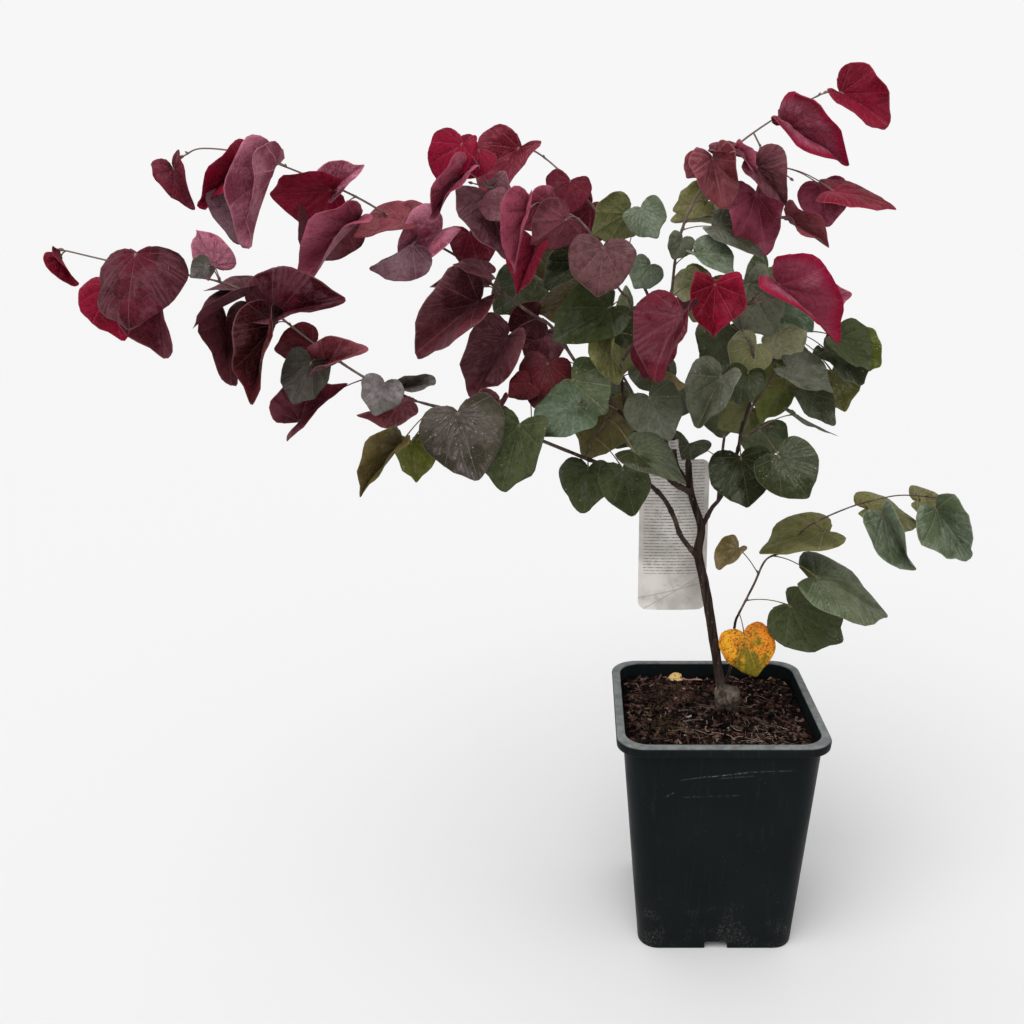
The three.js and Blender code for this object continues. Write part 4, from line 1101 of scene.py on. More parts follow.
def blade_sheet(leaf, draw):
    """The blade's flat lines (along, across, share, angle from its vein) and its lift from the plain fold."""
    base, side, gap = (np.array(values)[:, None] for values in zip(*COLUMNS))
    base = np.radians(base)
    share, size = np.array(RINGS)[None, :], leaf.size
    lopsided = 1 + LOPSIDED * (draw() - 0.5) * np.sign(base)
    uneven = waves(draw, 4, 2, 11)
    length = reach_at(np.degrees(base)) * leaf.midrib * lopsided * (1 + UNEVEN * uneven(base))
    radius = length * share
    half = between(VEIN_WIDTH, share) * size / 65
    angle = base + side * np.minimum(half / radius, 0.3 * math.radians(9))
    along, across = radius * np.cos(angle), radius * np.sin(angle)
    away = np.abs(angle[..., None] - np.radians(VEINS)).min(axis=-1)
    ripple = waves(draw, 3, 2.2, 6.5)
    ripple_size, roll = between(RIPPLE, draw()), between(ROLL, draw())
    quilt = 4 * share * (1.15 - share) * np.sin(math.pi * np.where(gap == 1, 0, gap))
    warp_x, warp_y = draw() * 50, draw() * 50
    warp = warped(along / size * 2.4 + warp_x, across / size * 2.4 + warp_y)
    pucker = warped(along / size * 9 + warp_y, across / size * 9 + warp_x)
    lift = size * (
        ripple_size * share**3 * ripple(angle)
        - roll * share**5
        + QUILT * quilt
        + WARP * warp * share
        + PUCKER * pucker * share
    )
    twist, cup, droop = (draw() - 0.5 for _ in range(3))
    bend = TWIST * twist * along * across + CUP * cup * across**2 + DROOP * droop * along * abs(along)
    lift = (lift + bend / size) * between(CALM, abs(leaf.normal.y))
    crest = ((side == 0) & (gap == 0)) * between(VEIN_RISE, share)
    return {
        "along": along,
        "across": across,
        "share": np.broadcast_to(share, along.shape),
        "lift": lift,
        "crest": crest,
        "vein_along": radius * np.cos(away),
        "vein_aside": radius * np.sin(away),
    }


def bent(leaf, along, across, lift):
    """Places of points of the blade that are lifted off its folded and curled surface."""
    soft = FOLD_ROUND * leaf.size
    slant = across / np.sqrt(across**2 + soft**2)
    rise = (np.sqrt(across**2 + soft**2) - soft) * math.sin(leaf.fold) + lift * math.cos(leaf.fold)
    sideways = across * math.cos(leaf.fold) - lift * slant * math.sin(leaf.fold)
    forward, up = along, rise
    if abs(leaf.curl) > 1e-9:
        angle = leaf.curl * along
        forward = np.sin(angle) / leaf.curl + rise * np.sin(angle)
        up = (np.cos(angle) - 1) / leaf.curl + rise * np.cos(angle)
    axes = [np.array(axis) for axis in (leaf.along, leaf.across, leaf.normal)]
    steps = [values[..., None] * axis for values, axis in zip((forward, sideways, up), axes)]
    return np.array(leaf.base) + sum(steps)


class Blades:
    """The blades of one mass of foliage: a thin closed solid for each leaf, in one mesh."""

    def __init__(self, count):
        self.shape = Shape()
        self.values = {"vein": [], "margin": [], "along": [], "aside": [], "tone": []}
        self.layout = []
        self.cells = math.ceil(math.sqrt(2 * count))
        self.used = 0

    def cell(self, leaf, along, across, spread=1.0):
        """Places in the next cell of the bake's layout."""
        column, row = self.used % self.cells, self.used // self.cells
        x = 0.5 + across * spread / (BAKE_SPAN * leaf.size)
        y = 0.5 + (along * spread / leaf.size - 0.22) / BAKE_SPAN
        return np.stack([(column + x) / self.cells, (row + y) / self.cells], axis=-1).reshape(-1, 2)

    def add(self, leaf, draw, thickness, upper_slot, under_slot):
        """Adds a leaf's blade. Each of its sides has a cell of its own in the bake's layout."""
        sheet = blade_sheet(leaf, draw)
        along, across, lift, crest = (sheet[name] for name in ("along", "across", "lift", "crest"))
        thin = thickness * np.where(sheet["share"] == 1, RIM_THIN, 1) / 2
        pole = np.zeros(1)  # where the veins meet
        places = [
            bent(leaf, along, across, lift + thin - 0.3 * crest),
            bent(leaf, along, across, lift - thin - crest),
            bent(leaf, pole, pole, pole + thickness / 2),
            bent(leaf, pole, pole, pole - thickness / 2),
        ]
        upper, upper_pole = self.cell(leaf, along, across), self.cell(leaf, pole, pole)
        rim = self.cell(leaf, along, across, RIM_SPREAD)
        self.used += 1
        under, under_pole = self.cell(leaf, along, across), self.cell(leaf, pole, pole)
        self.used += 1
        side_spots = np.concatenate([upper, under, upper_pole, under_pole])
        rim_spots = np.concatenate([upper, rim, upper_pole, upper_pole])
        columns, rings = along.shape
        count = along.size
        index = np.arange(count).reshape(columns, rings)
        top, bottom = 2 * count, 2 * count + 1
        faces, slots = [], []

        def face(corners, slot, spots=side_spots):
            faces.append(tuple(int(c) for c in corners))
            slots.append(slot)
            self.layout.extend(spots[c] for c in corners)

        for near, far in zip(index, index[1:]):
            face((top, far[0], near[0]), upper_slot)
            face((bottom, near[0] + count, far[0] + count), under_slot)
            for a, b, c, d in zip(near, near[1:], far[1:], far):
                face((a, d, c, b), upper_slot)
                face((a + count, b + count, c + count, d + count), under_slot)
            face((near[-1], far[-1], far[-1] + count, near[-1] + count), upper_slot, rim_spots)
        first, last = ([(top, bottom), *((i, i + count) for i in index[column])] for column in (0, -1))
        for a, b in (*zip(first, first[1:]), *zip(last[1:], last)):
            face((a[0], b[0], b[1], a[1]), upper_slot, rim_spots)
        self.shape.add([Vector(place) for part in places for place in part.reshape(-1, 3)], faces, slots)
        tone = draw()
        for name, values, at_pole in (
            ("vein", (crest > 0).astype(float), 1.0),
            ("margin", sheet["share"], 0.0),
            ("along", sheet["vein_along"], 0.0),
            ("aside", sheet["vein_aside"], 0.0),
            ("tone", np.full(count, tone), tone),
        ):
            flat = values.reshape(-1)
            self.values[name].extend([*flat, *flat, at_pole, at_pole])

    def fill(self, count):
        """Values and bake places for points that belong to no blade."""
        for values in self.values.values():
            values.extend([0.0] * (count - len(values)))
        corners = sum(len(face) for face in self.shape.faces)
        self.layout.extend([np.zeros(2)] * (corners - len(self.layout)))

    def build(self, name, materials):
        made = self.shape.build(name, materials)
        for attribute, values in self.values.items():
            layer = made.data.attributes.new(attribute, "FLOAT", "POINT")
            layer.data.foreach_set("value", values)
        bake = made.data.uv_layers.new(name="OFBake")
        bake.data.foreach_set("uv", np.array(self.layout, np.float32).reshape(-1))
        return made


# ---- finishes ----
def leaf_finish(name, colour, under, painted_sheen_strength):
    """A blade's skin: mottled and wrinkled, with painted streaks and patches of sheen (a painted reflection),
    paler veins, netting and a fine pale margin that is partly a painted edge highlight.
    """
    red = colour[0] > RED_RATIO * colour[1]
    streaky = red and painted_sheen_strength > STREAKY_PAINTED_SHEEN
    skin = RED_SKIN if red else GREEN_SKIN
    painted_sheen_shift = skin["painted_sheen_shift"]
    if streaky:
        painted_sheen_shift = STREAKY_PAINTED_SHEEN_SHIFT
    elif not red and painted_sheen_strength > WARM_PAINTED_SHEEN:
        painted_sheen_shift = WARM_PAINTED_SHEEN_SHIFT
    deep = tuple(c * k for c, k in zip(colour, skin["deep"]))
    pale = raised(colour, skin["veins"])
    paint = Paint(name, 0.6, skin["specular"])
    along, aside, margin, vein = (paint.attribute(value) for value in ("along", "aside", "margin", "vein"))
    shade = paint.attribute("tone") - 0.5
    broad = paint.noise(17) + shade * 0.2
    wrinkles = paint.noise(170, 5.0, 0.68)
    paint.tone = paint.mix(broad.ramp(0.42, 0.55), deep, blended(colour, skin["fresh"], 0.1))
    paint.lay(wrinkles.ramp(0.5, 0.62) * 0.6, deep)

    # Painted sheen: a painted reflection in fine streaks that fan out along the side veins, in patches
    fan = paint.joined(aside, along * 0.1, shade * 60.0)
    streaks = paint.noise(0.5, 5.0, 0.72, place=fan).ramp(0.44, 0.62)
    painted_sheen_patches = paint.noise(21, 5.0, 0.6) - shade * 0.1
    painted_sheen_mask = streaks * 0.75 + paint.noise(520, 2.0) * 0.5
    if streaky:
        painted_sheen_mask = (painted_sheen_mask * painted_sheen_patches.ramp(0.4, 0.52, 0.25) + 0.3) * margin.ramp(0.98, 0.75)
    else:
        painted_sheen_mask = painted_sheen_mask * painted_sheen_patches.ramp(0.48, 0.55)
    paint.lay(painted_sheen_mask * (0.5 if under else 0.95), raised(colour, painted_sheen_shift, painted_sheen_strength))

    slope = along - aside * 1.05
    side = abs((slope / SIDE_VEIN_SPACING).fraction() - 0.5).ramp(0.07, 0.0) * margin.ramp(1.0, 0.75)
    net = paint.cells(340, "DISTANCE_TO_EDGE").ramp(0.09, 0.0)
    paint.lay(net * 0.3, pale)
    paint.lay(side * 0.6, pale)
    paint.lay(vein.ramp(0.2, 0.9), pale)
    # A pale margin along the blade's edge, partly the leaf's own colour and partly a painted edge highlight
    pale_edge_and_highlight = margin.ramp(0.97, 1.0) * broad.ramp(0.6, 0.4)
    paint.lay(pale_edge_and_highlight * 0.8, raised(colour, skin["margin"]))
    if not red and not under:
        specks = paint.cells(210).ramp(0.16, 0.08)
        paint.lay(specks * (paint.noise(22, 1.0).ramp(0.5, 0.6) * 0.6), DUST)
    paint.set("Roughness", wrinkles.ramp(0.3, 0.7, 0.42, 0.62))
    return paint.done(net * -0.3 + side * -0.8 + wrinkles * 2.2, -SKIN_RELIEF if under else SKIN_RELIEF, 0.9)


def yellow_finish(name, under):
    """The turning leaf: golden and orange lobes, a green middle down to the tip, and a rash of brown specks."""
    paint = Paint(name, 0.6, 0.08)
    x, _, z = paint.place()
    low, high = YELLOW_SPAN
    mottle = paint.noise(90, 4.0)
    rough = (mottle - 0.5) * 0.05
    across = x - YELLOW_MIDDLE
    level = z + rough
    half = level.ramp(high, low, 0.002, 0.014)
    green = (abs(across - 0.003 + rough) - half).ramp(0.008, -0.004)
    green = green * level.ramp(high - 0.012, high - 0.034)
    lobes = (level + across * 0.5).ramp(low + 0.035, high)
    paint.tone = paint.mix(lobes, linear(212, 152, 38), linear(206, 112, 34))
    paint.lay(mottle.ramp(0.46, 0.62) * 0.8, linear(206, 124, 34))
    paint.lay(green * 0.92, linear(88, 96, 26))
    rash = paint.noise(380, 3.0, 0.7).ramp(0.5, 0.58) * paint.noise(70, 2.0).ramp(0.34, 0.52)
    paint.lay(rash * 0.8, linear(118, 52, 16))
    paint.lay(paint.cells(360).ramp(0.34, 0.2) * 0.8, linear(84, 42, 16))
    paint.lay(paint.attribute("vein") * 0.5, linear(178, 140, 60))
    if under:
        paint.lay(0.35, linear(150, 120, 60))
    return paint.done(mottle, 0.0012)


def bark_finish(name, colour, pale):
    """Dark purple-brown bark with long streaks and pale pores, greyer towards the ends of the crown."""
    paint = Paint(name, 0.62, 0.1)
    x, _, z = paint.place()
    streaks = paint.noise(260, 4.0, stretch=0.12)
    pores = paint.cells(300, stretch=0.45).ramp(0.2, 0.1)
    paint.tone = paint.mix(streaks.ramp(0.35, 0.65), blended(colour, BLACK, 0.4), colour)
    paint.lay(paint.noise(90).ramp(0.5, 0.72) * 0.55, pale)
    paint.lay(pores * 0.6, blended(pale, WHITE, 0.15))
    outward = abs(x).ramp(0.22, 0.46).at_least(z.ramp(0.68, 0.84))
    paint.lay(outward * 0.5, linear(146, 128, 120))
    return paint.done(streaks + pores, 0.0006)


def trunk_finish():
    """The trunk: grey and cracked at its swollen foot, smooth purple-brown above."""
    paint = Paint("trunk_bark", 0.68, 0.08)
    height = paint.place()[2]
    streaks = paint.noise(240, 5.0, stretch=0.1)
    mottle = paint.noise(110, 5.0, 0.7)
    cracks = paint.noise(210, 4.0, 0.7, stretch=0.45).ramp(0.56, 0.66)
    pores = paint.cells(260, stretch=0.5).ramp(0.17, 0.1)
    wood = paint.mix(streaks.ramp(0.35, 0.68), linear(27, 19, 17), linear(64, 50, 44))
    wood = paint.mix(pores * 0.5, wood, linear(138, 120, 104))
    grey = paint.mix(mottle.ramp(0.36, 0.64), linear(62, 54, 48), linear(120, 108, 97))
    grey = paint.mix(cracks * 0.6, grey, linear(34, 26, 23))
    stained = (height + mottle * 0.012).ramp(0.27, 0.25)
    grey = paint.mix(stained * 0.7, grey, linear(40, 30, 26))
    foot = (height + mottle * 0.02).ramp(0.295, 0.275)
    paint.tone = paint.mix(foot, wood, grey)
    return paint.done(streaks + cracks * -1.2, 0.0008)


def pot_finish():
    """Moulded plastic: near black, scratched at the top of its front, dusty at the foot, with a painted
    highlight along the top of its rim.
    """
    paint = Paint("pot_plastic_moulded", 0.5, 0.05)
    body = tuple(bpy.context.scene.redbud_colours.pot)
    x, y, height = paint.place()
    streaks = paint.noise(260, stretch=0.05)
    clouds = paint.noise(13)
    paint.tone = paint.mix(clouds.ramp(0.35, 0.7), blended(body, BLACK, 0.22), body)
    paint.lay(streaks.ramp(0.54, 0.78) * 0.1, linear(62, 66, 66))

    scratched = 0.0
    for left, right, level, slope, strength in SCRATCHES:
        half = (right - left) / 2
        off = abs(height - ((x - left) * slope + level))
        mark = off.ramp(0.0012, 0.0001) * (strength * SCRATCH_STRENGTH)
        mark = mark * abs(x - (left + right) / 2).ramp(half, half - 0.006)
        scratched = mark.at_least(scratched)
    broken = paint.noise(300, 4.0, 0.7).ramp(0.42, 0.62, 0.05)
    scratched = scratched * broken * y.ramp(-0.09, -0.094)
    paint.lay(scratched, linear(122, 126, 126))

    dots = paint.cells(300).ramp(0.12, 0.05) * paint.noise(44, 2.0).ramp(0.55, 0.66)
    paint.lay(dots * 0.5, linear(120, 120, 116))
    dusty = height.ramp(0.075, 0.03) * paint.noise(34).ramp(0.46, 0.64)
    dusty = dusty * paint.noise(520, 3.0, 0.75).ramp(0.5, 0.66)
    paint.lay(dusty * 0.5, linear(92, 90, 84))
    # A painted highlight on the top of the rim: lighter greys where light falls on it
    painted_rim_highlight = paint.noise(120, 4.0).ramp(0.35, 0.65)
    painted_rim_highlight = paint.mix(painted_rim_highlight, linear(102, 106, 106), linear(124, 128, 126))
    paint.lay(height.ramp(0.2518, 0.2532) * 0.85, painted_rim_highlight)
    paint.set("Roughness", clouds.ramp(0.3, 0.7, 0.4, 0.56))
    return paint.done(streaks + scratched * -0.4, 0.0003, 0.4)


def crumb_finish(name, dark, light, rough=0.85):
    """Damp bark and peat: dark with lighter, redder crumbs, and broad darker patches of painted shade."""
    paint = Paint(name, rough, 0.06)
    grain = paint.noise(420, 5.0, 0.65)
    paint.tone = paint.mix(grain.ramp(0.38, 0.66), dark, light)
    paint.lay(paint.noise(60, 2.0).ramp(0.4, 0.65) * 0.45, blended(dark, BLACK, 0.3))
    # Broad darker patches: painted shade
    paint.lay(paint.noise(24).ramp(0.46, 0.58) * 0.6, blended(dark, BLACK, 0.6))
    return paint.done(grain, 0.0012)


def card_finish():
    """Thin white card, slightly grey, with plain ruled lines and soft creases painted as lines of shade."""
    paint = Paint("tag_card_blank", 0.5, 0.25)
    x, _, z = paint.place()
    soft = paint.noise(26, 4.0)
    paint.tone = paint.mix(soft.ramp(0.35, 0.65), linear(184, 178, 172), linear(222, 216, 210))
    paint.lay(paint.noise(75, 4.0, 0.7).ramp(0.56, 0.7) * 0.4, linear(142, 138, 134))
    paint.lay(paint.noise(600, 2.0).ramp(0.55, 0.75) * 0.2, linear(176, 172, 166))
    rules = abs((z / RULE_SPACING).fraction() - 0.5).ramp(0.2, 0.13)
    rules = rules * abs(x - TAG_MIDDLE[0] * MM).ramp(0.0325, 0.0315)
    faint = z.ramp(RULES_FROM, RULES_FROM + 0.001) * paint.noise(420, 2.0).ramp(0.38, 0.6, 0.3, 0.8)
    paint.lay(rules * faint, linear(92, 86, 82))
    # The creases are painted as soft grey lines of shade; the card's shape has no creases
    for slope, start in CARD_CREASES:
        crease_shade = abs(z - x * slope - start).ramp(0.0009, 0.0002)
        paint.lay(crease_shade * 0.6, linear(140, 136, 130))
    return paint.done(soft, 0.0008, 0.5)


# ---- pieces ----
def ridges(point, angle, size):
    """Relief of the bark at a place: long ridges, lumps and fine grain, in millimetres."""
    lengthwise = Vector((math.cos(angle) * 2.2, math.sin(angle) * 2.2, point.z * 0.03))
    lumps = noise.noise(point * 0.09)
    return size * (0.09 * noise.noise(lengthwise * 1.6) + 0.05 * lumps + 0.02 * noise.noise(point * 0.8))


def limb_tube(shape, limb, slim, steps, sides, knots, collar=0.0):
    """A tapering limb with a collar at its foot and a swelling at each knot along it."""
    line = Line(limb["path"], steps)
    last = len(line.points) - 1
    foot, tip = limb["foot"] * slim, limb["tip"] * slim

    def radius(i, angle):
        run = line.run[i]
        wide = foot + (tip - foot) * i / last
        wide *= 1 + collar * math.exp(-run / COLLAR_SPREAD)
        near = [knot for knot in knots if abs(run - knot) < KNOT_REACH]
        wide += sum(KNOT_HEIGHT * tip * math.exp(-(((run - knot) / KNOT_SPREAD) ** 2)) for knot in near)
        if i == last:
            wide *= LIMB_END
        return wide + ridges(line.points[i], angle, wide)

    shape.add(*tube(line.points, radius, sides))


def disc_reach(centre, radius, middle, angle):
    """How far a disc reaches from a middle in a direction, or 0 if the ray misses it."""
    dx, dy = centre[0] - middle[0], centre[1] - middle[1]
    forward = dx * math.cos(angle) + dy * math.sin(angle)
    aside = dx * math.sin(angle) - dy * math.cos(angle)
    if abs(aside) >= radius:
        return 0.0
    return max(forward + math.sqrt(radius**2 - aside**2), 0.0)


def level_disc(limb, z):
    """The centre and radius of a limb at a height."""
    points = Line(limb["path"]).points
    for i, (a, b) in enumerate(zip(points, points[1:])):
        if z <= b.z:
            share = max((z - a.z) / (b.z - a.z), 0)
            taper = (i + share) / (len(points) - 1)
            return a.lerp(b, share), limb["foot"] + (limb["tip"] - limb["foot"]) * taper


TRUNK_LEVELS = [*range(232, 292, 1), *range(292, 520, 3), 520, 522, 523.4, 524]
TRUNK_SIDES = 56
TRUNK_END = 520  # from here on its end narrows
TRUNK_NARROWING = 0.0875  # per millimetre
TRUNK_TOP = 523.9
FLARE_TOP = 268
STOCK_TOP = 274
STOCK_HIGH = 269.9  # the last level that is taken from its line
STOCK_ROUND = 12
STOCK_SHIFT = 3.5  # of its middle at the soil
# Shares of the solid's radius, low down and higher up, and the heights between which they change
TRUNK_SLIM = (0.8, 0.98)
TRUNK_SLIMS = (262, 372)
FLARE_SLIM = (0.62, 0.95)
FLARE_SLIMS = (240, 264)
STOCK_SLIM = (0.55, 0.9)
STOCK_SLIMS = (240, 260)
GNARLED = (278, 232)  # heights from which and down to which the trunk gets gnarled
JOINING = 7  # how sharply the discs join; more is sharper


def share_between(span, value):
    """How far a value is through a span, from 0 to 1."""
    return min(max((value - span[0]) / (span[1] - span[0]), 0), 1)


def trunk_discs(z):
    """The discs that make up the trunk at a height: its stem, and lower down its flare and the old stock."""
    centre, radius = level_disc(TRUNK, min(z, TRUNK_TOP))
    radius *= between(TRUNK_SLIM, share_between(TRUNK_SLIMS, z))
    radius *= 1 - TRUNK_NARROWING * max(z - TRUNK_END, 0)
    discs = [(centre, radius)]
    if z <= FLARE_TOP:
        middle, wide = level_disc(FLARE, z)
        discs.append((middle, wide * between(FLARE_SLIM, share_between(FLARE_SLIMS, z))))
    if z < STOCK_TOP:
        middle, wide = level_disc(STOCK, min(z, STOCK_HIGH))
        upper = share_between(STOCK_SLIMS, z)
        dome = min((STOCK_TOP - z) / STOCK_ROUND, 1)
        wide *= between(STOCK_SLIM, upper) * math.sqrt(1 - (1 - dome) ** 2)
        discs.append((middle + Vector((STOCK_SHIFT * (1 - upper), 0, 0)), wide))
    return discs


def make_trunk():
    """The trunk in level rings: its stem, root flare and old stock run smoothly into one another."""
    places = []
    for z in TRUNK_LEVELS:
        discs = trunk_discs(z)
        centre, radius = discs[0]
        heart = Vector((centre.x, centre.y, z))
        gnarl = share_between(GNARLED, z)
        for k in range(TRUNK_SIDES):
            angle = 2 * math.pi * k / TRUNK_SIDES
            outward = Vector((math.cos(angle), math.sin(angle), 0))
            reach = sum(disc_reach(*disc, heart, angle) ** JOINING for disc in discs) ** (1 / JOINING)
            place = heart + outward * reach
            knobbly = noise.noise(place * 0.14) * 1.6 + noise.noise(place * 0.4) * 0.7
            reach += ridges(place, angle, max(radius, 4)) + gnarl * knobbly
            places.append(heart + outward * reach)
    shape = Shape()
    shape.add(places, ring_faces(len(TRUNK_LEVELS), TRUNK_SIDES))
    return finish_piece(shape.build("trunk_wood", [trunk_finish()]), "bark", "trunk")


def square_reach(half, corner, angle):
    """Distance from the middle of a round-cornered square to its side in a direction."""
    c, s = abs(math.cos(angle)), abs(math.sin(angle))
    straight = half / max(c, s)
    inner = half - corner
    if min(c, s) * straight <= inner:
        return straight
    ahead = inner * (c + s)
    return ahead + math.sqrt(max(ahead**2 - 2 * inner**2 + corner**2, 0))


def soil_height(x, y):
    """The soil's surface: gentle swells, crumbs, and a low mound round the trunk."""
    level = SOIL_LEVEL - SOIL_SINK
    for height, cells, place in SOIL_WAVES:
        level += height * noise.noise(Vector((x * cells, y * cells, place)))
    for height, middle_x, middle_y, spread in SOIL_MOUNDS:
        level += height * math.exp(-((x - middle_x) ** 2 + (y - middle_y) ** 2) / spread)
    return level


def soil_ring(half, corner):
    """A ring of places round the pot, as far out as a round-cornered square."""
    for k in range(SOIL_SIDES):
        angle = 2 * math.pi * k / SOIL_SIDES
        reach = square_reach(half, corner, angle)
        yield reach * math.cos(angle), reach * math.sin(angle)


def make_soil_bed():
    """The soil down to the pot's floor, as rings that widen from its middle and one low ring."""
    places = [Vector((0, 0, soil_height(0, 0)))]
    for ring in range(1, SOIL_RINGS + 1):
        share = ring / SOIL_RINGS
        for x, y in soil_ring(SOIL_HALF, SOIL_CORNER):
            places.append(Vector((x * share, y * share, soil_height(x * share, y * share))))
    places += [Vector((x, y, SOIL_LOW)) for x, y in soil_ring(SOIL_LOW_HALF, SOIL_CORNER - 3)]
    faces = [(0, 1 + k, 1 + (k + 1) % SOIL_SIDES) for k in range(SOIL_SIDES)]
    for ring in range(SOIL_RINGS):
        start = 1 + ring * SOIL_SIDES
        for k in range(SOIL_SIDES):
            a, b = start + k, start + (k + 1) % SOIL_SIDES
            faces.append((a, a + SOIL_SIDES, b + SOIL_SIDES, b))
    faces.append(tuple(reversed(range(len(places) - SOIL_SIDES, len(places)))))
    shape = Shape()
    shape.add(places, faces)
    peat = tuple(bpy.context.scene.redbud_colours.soil)
    finish = crumb_finish("soil_peat", blended(peat, BLACK, 0.35), peat)
    return finish_piece(shape.build("soil_bed", [finish]), "potting_soil", "soil")


def spot_on_soil(draw, margin):
    """A random place on the soil, a margin inside the pot's wall."""
    while True:
        x, y = (2 * draw() - 1) * SOIL_HALF, (2 * draw() - 1) * SOIL_HALF
        angle = math.atan2(y, x)
        if math.hypot(x, y) < square_reach(SOIL_HALF - margin, SOIL_CORNER - margin / 2, angle):
            return x, y


def make_chips():
    """Chips of bark on and in the soil's surface."""
    draw = random_from(CHIP_SEED)
    shape = Shape()
    for _ in range(bpy.context.scene.redbud_sizes.chips):
        tone = draw()
        slot = sum(tone >= limit for limit in CHIP_MIX)
        long = between(CHIP_LENGTHS[slot], draw() ** 1.2)
        wide = min(between(CHIP_WIDTH, draw()), long) * (PALE_SLIM if slot > 2 else 1)
        thick = between(CHIP_THICKNESS, draw())
        half = Vector((long, wide, thick)) / 2
        x, y = spot_on_soil(draw, 2 + long / 2)
        turn = Euler(((draw() - 0.5) * 1.3, (draw() - 0.5) * 1.1, draw() * math.pi)).to_matrix()
        centre = Vector((x, y, soil_height(x, y) + 0.3 + thick * 0.9 * draw()))
        corners = []
        for signs in CHIP_BOX:
            corner = Vector([sign * h * between(CHIP_JITTER, draw()) for sign, h in zip(signs, half)])
            corners.append(centre + turn @ corner)
        shape.add(corners, CHIP_SIDES, slot)
    finishes = [
        crumb_finish("chip_dark", linear(10, 5, 4), linear(38, 25, 21), 0.7),
        crumb_finish("chip_red", linear(40, 22, 18), linear(104, 70, 60), 0.7),
        crumb_finish("chip_brown", linear(54, 40, 35), linear(134, 110, 98), 0.7),
        crumb_finish("chip_straw", linear(130, 102, 84), linear(186, 158, 136), 0.75),
        crumb_finish("chip_pale", linear(176, 172, 162), linear(218, 214, 206), 0.8),
    ]
    return finish_piece(shape.build("soil_chips", finishes, smooth=False), "potting_soil")


def curved_strand(draw, x, y, turn, length, curl, lift):
    """Points of a strand that lies on the soil and bends evenly."""
    points = []
    step = length / STRAND_STEPS
    for k in range(STRAND_STEPS + 1):
        rise = 1.8 + lift * math.sin(math.pi * k / STRAND_STEPS)
        points.append(Vector((x, y, soil_height(x, y) + rise)))
        x += step * math.cos(turn)
        y += step * math.sin(turn)
        turn += curl / STRAND_STEPS + (draw() - 0.5) * 0.25
    return points


def on_soil(x, y):
    """Whether a place is on the soil, a little way inside the pot's wall."""
    return math.hypot(x, y) < square_reach(SOIL_HALF - 2, SOIL_CORNER, math.atan2(y, x))


def make_strands():
    """Straws, fibres and fine pale roots on the soil."""
    draw = random_from(STRAND_SEED)
    shape = Shape()
    for count, slot, radius, lengths, curl, lift, (clump_x, clump_y, share) in STRANDS:
        for _ in range(count):
            x, y = spot_on_soil(draw, 22)
            x, y = clump_x + (x - clump_x) * share, clump_y + (y - clump_y) * share
            turn, length = draw() * 6.28, between(lengths, draw())
            points = curved_strand(draw, x, y, turn, length, (draw() - 0.5) * 2 * curl, lift * draw())
            if all(on_soil(p.x, p.y) for p in points):
                thick = radius * (0.7 + 0.6 * draw())
                ends = {0: 0.5, STRAND_STEPS: 0.4}
                shape.add(*tube(points, lambda i, a: thick * ends.get(i, 1), 5), slot)
    for path in SURFACE_ROOTS:
        points = [Vector((x, y, soil_height(x, y) + 2.4 + 0.9 * math.sin(0.3 * x))) for x, y in path]
        fine = Line(points, 5).points
        shape.add(*tube(fine, lambda i, a: ROOT_RADIUS * (1 - 0.5 * i / len(fine)), 6), 1)
    finishes = [
        crumb_finish("rootlet", linear(70, 50, 42), linear(120, 92, 78)),
        crumb_finish("fine_root", linear(120, 100, 88), linear(176, 156, 140)),
        crumb_finish("dry_moss", linear(62, 50, 30), linear(124, 104, 70)),
    ]
    return finish_piece(shape.build("soil_strands", finishes), "potting_soil")


def make_fallen_leaf():
    """A small yellow leaf on the soil, and the pale stalk beside it."""
    blades = Blades(1)
    x, y = FALLEN_PLACE
    leaf = Leaf((x, y, soil_height(x, y) + 4), *FALLEN_LEAF)
    blades.add(leaf, random_from(FALLEN_SEED), FALLEN_THICKNESS, 0, 0)
    stalk = []
    for k in range(9):
        level = soil_height(x + 3 * k, y) + 3.6 - 0.12 * k
        stalk.append(Vector((x + 1 + 3.2 * k, y - 1 - 0.5 * k, level)))
    blades.shape.add(*tube(stalk, lambda i, a: 0.7 + 0.06 * i, STALK_SIDES), 1)
    blades.fill(len(blades.shape.places))
    paint = Paint("fallen_leaf_skin", 0.55, 0.3)
    mottle = paint.noise(260)
    paint.tone = paint.mix(mottle.ramp(0.48, 0.68), linear(216, 184, 120), linear(150, 96, 52))
    stalk_finish = crumb_finish("fallen_stalk", linear(176, 132, 118), linear(214, 178, 160))
    return finish_piece(blades.build("fallen_leaf", [paint.done(mottle, 0.0006), stalk_finish]), "leaf_green")


def pot_profile():
    """The pot's height and width from its foot up, over the rim, and down inside to the floor."""
    under_rim = POT_HEIGHT - RIM_HEIGHT
    yield under_rim, POT_BOTTOM + (POT_TOP - POT_BOTTOM) * under_rim / POT_HEIGHT
    yield under_rim, RIM_WIDTH - RIM_DRAFT
    for step in range(RIM_STEPS + 1):
        slant = math.pi / 2 * step / RIM_STEPS
        yield POT_HEIGHT - RIM_ROUND * (1 - math.sin(slant)), RIM_WIDTH - 2 * RIM_ROUND * (1 - math.cos(slant))
    yield POT_HEIGHT, POT_TOP - 2 * POT_WALL
    yield POT_FLOOR, POT_BOTTOM - 2 * POT_WALL


def raise_face(height, factor):
    """Extrudes the selected face straight up or down and sizes it about the pot's middle."""
    bpy.ops.mesh.extrude_region_move(TRANSFORM_OT_translate={"value": (0, 0, height * MM)})
    bpy.ops.transform.resize(value=(factor, factor, 1), center_override=(0, 0, 0))


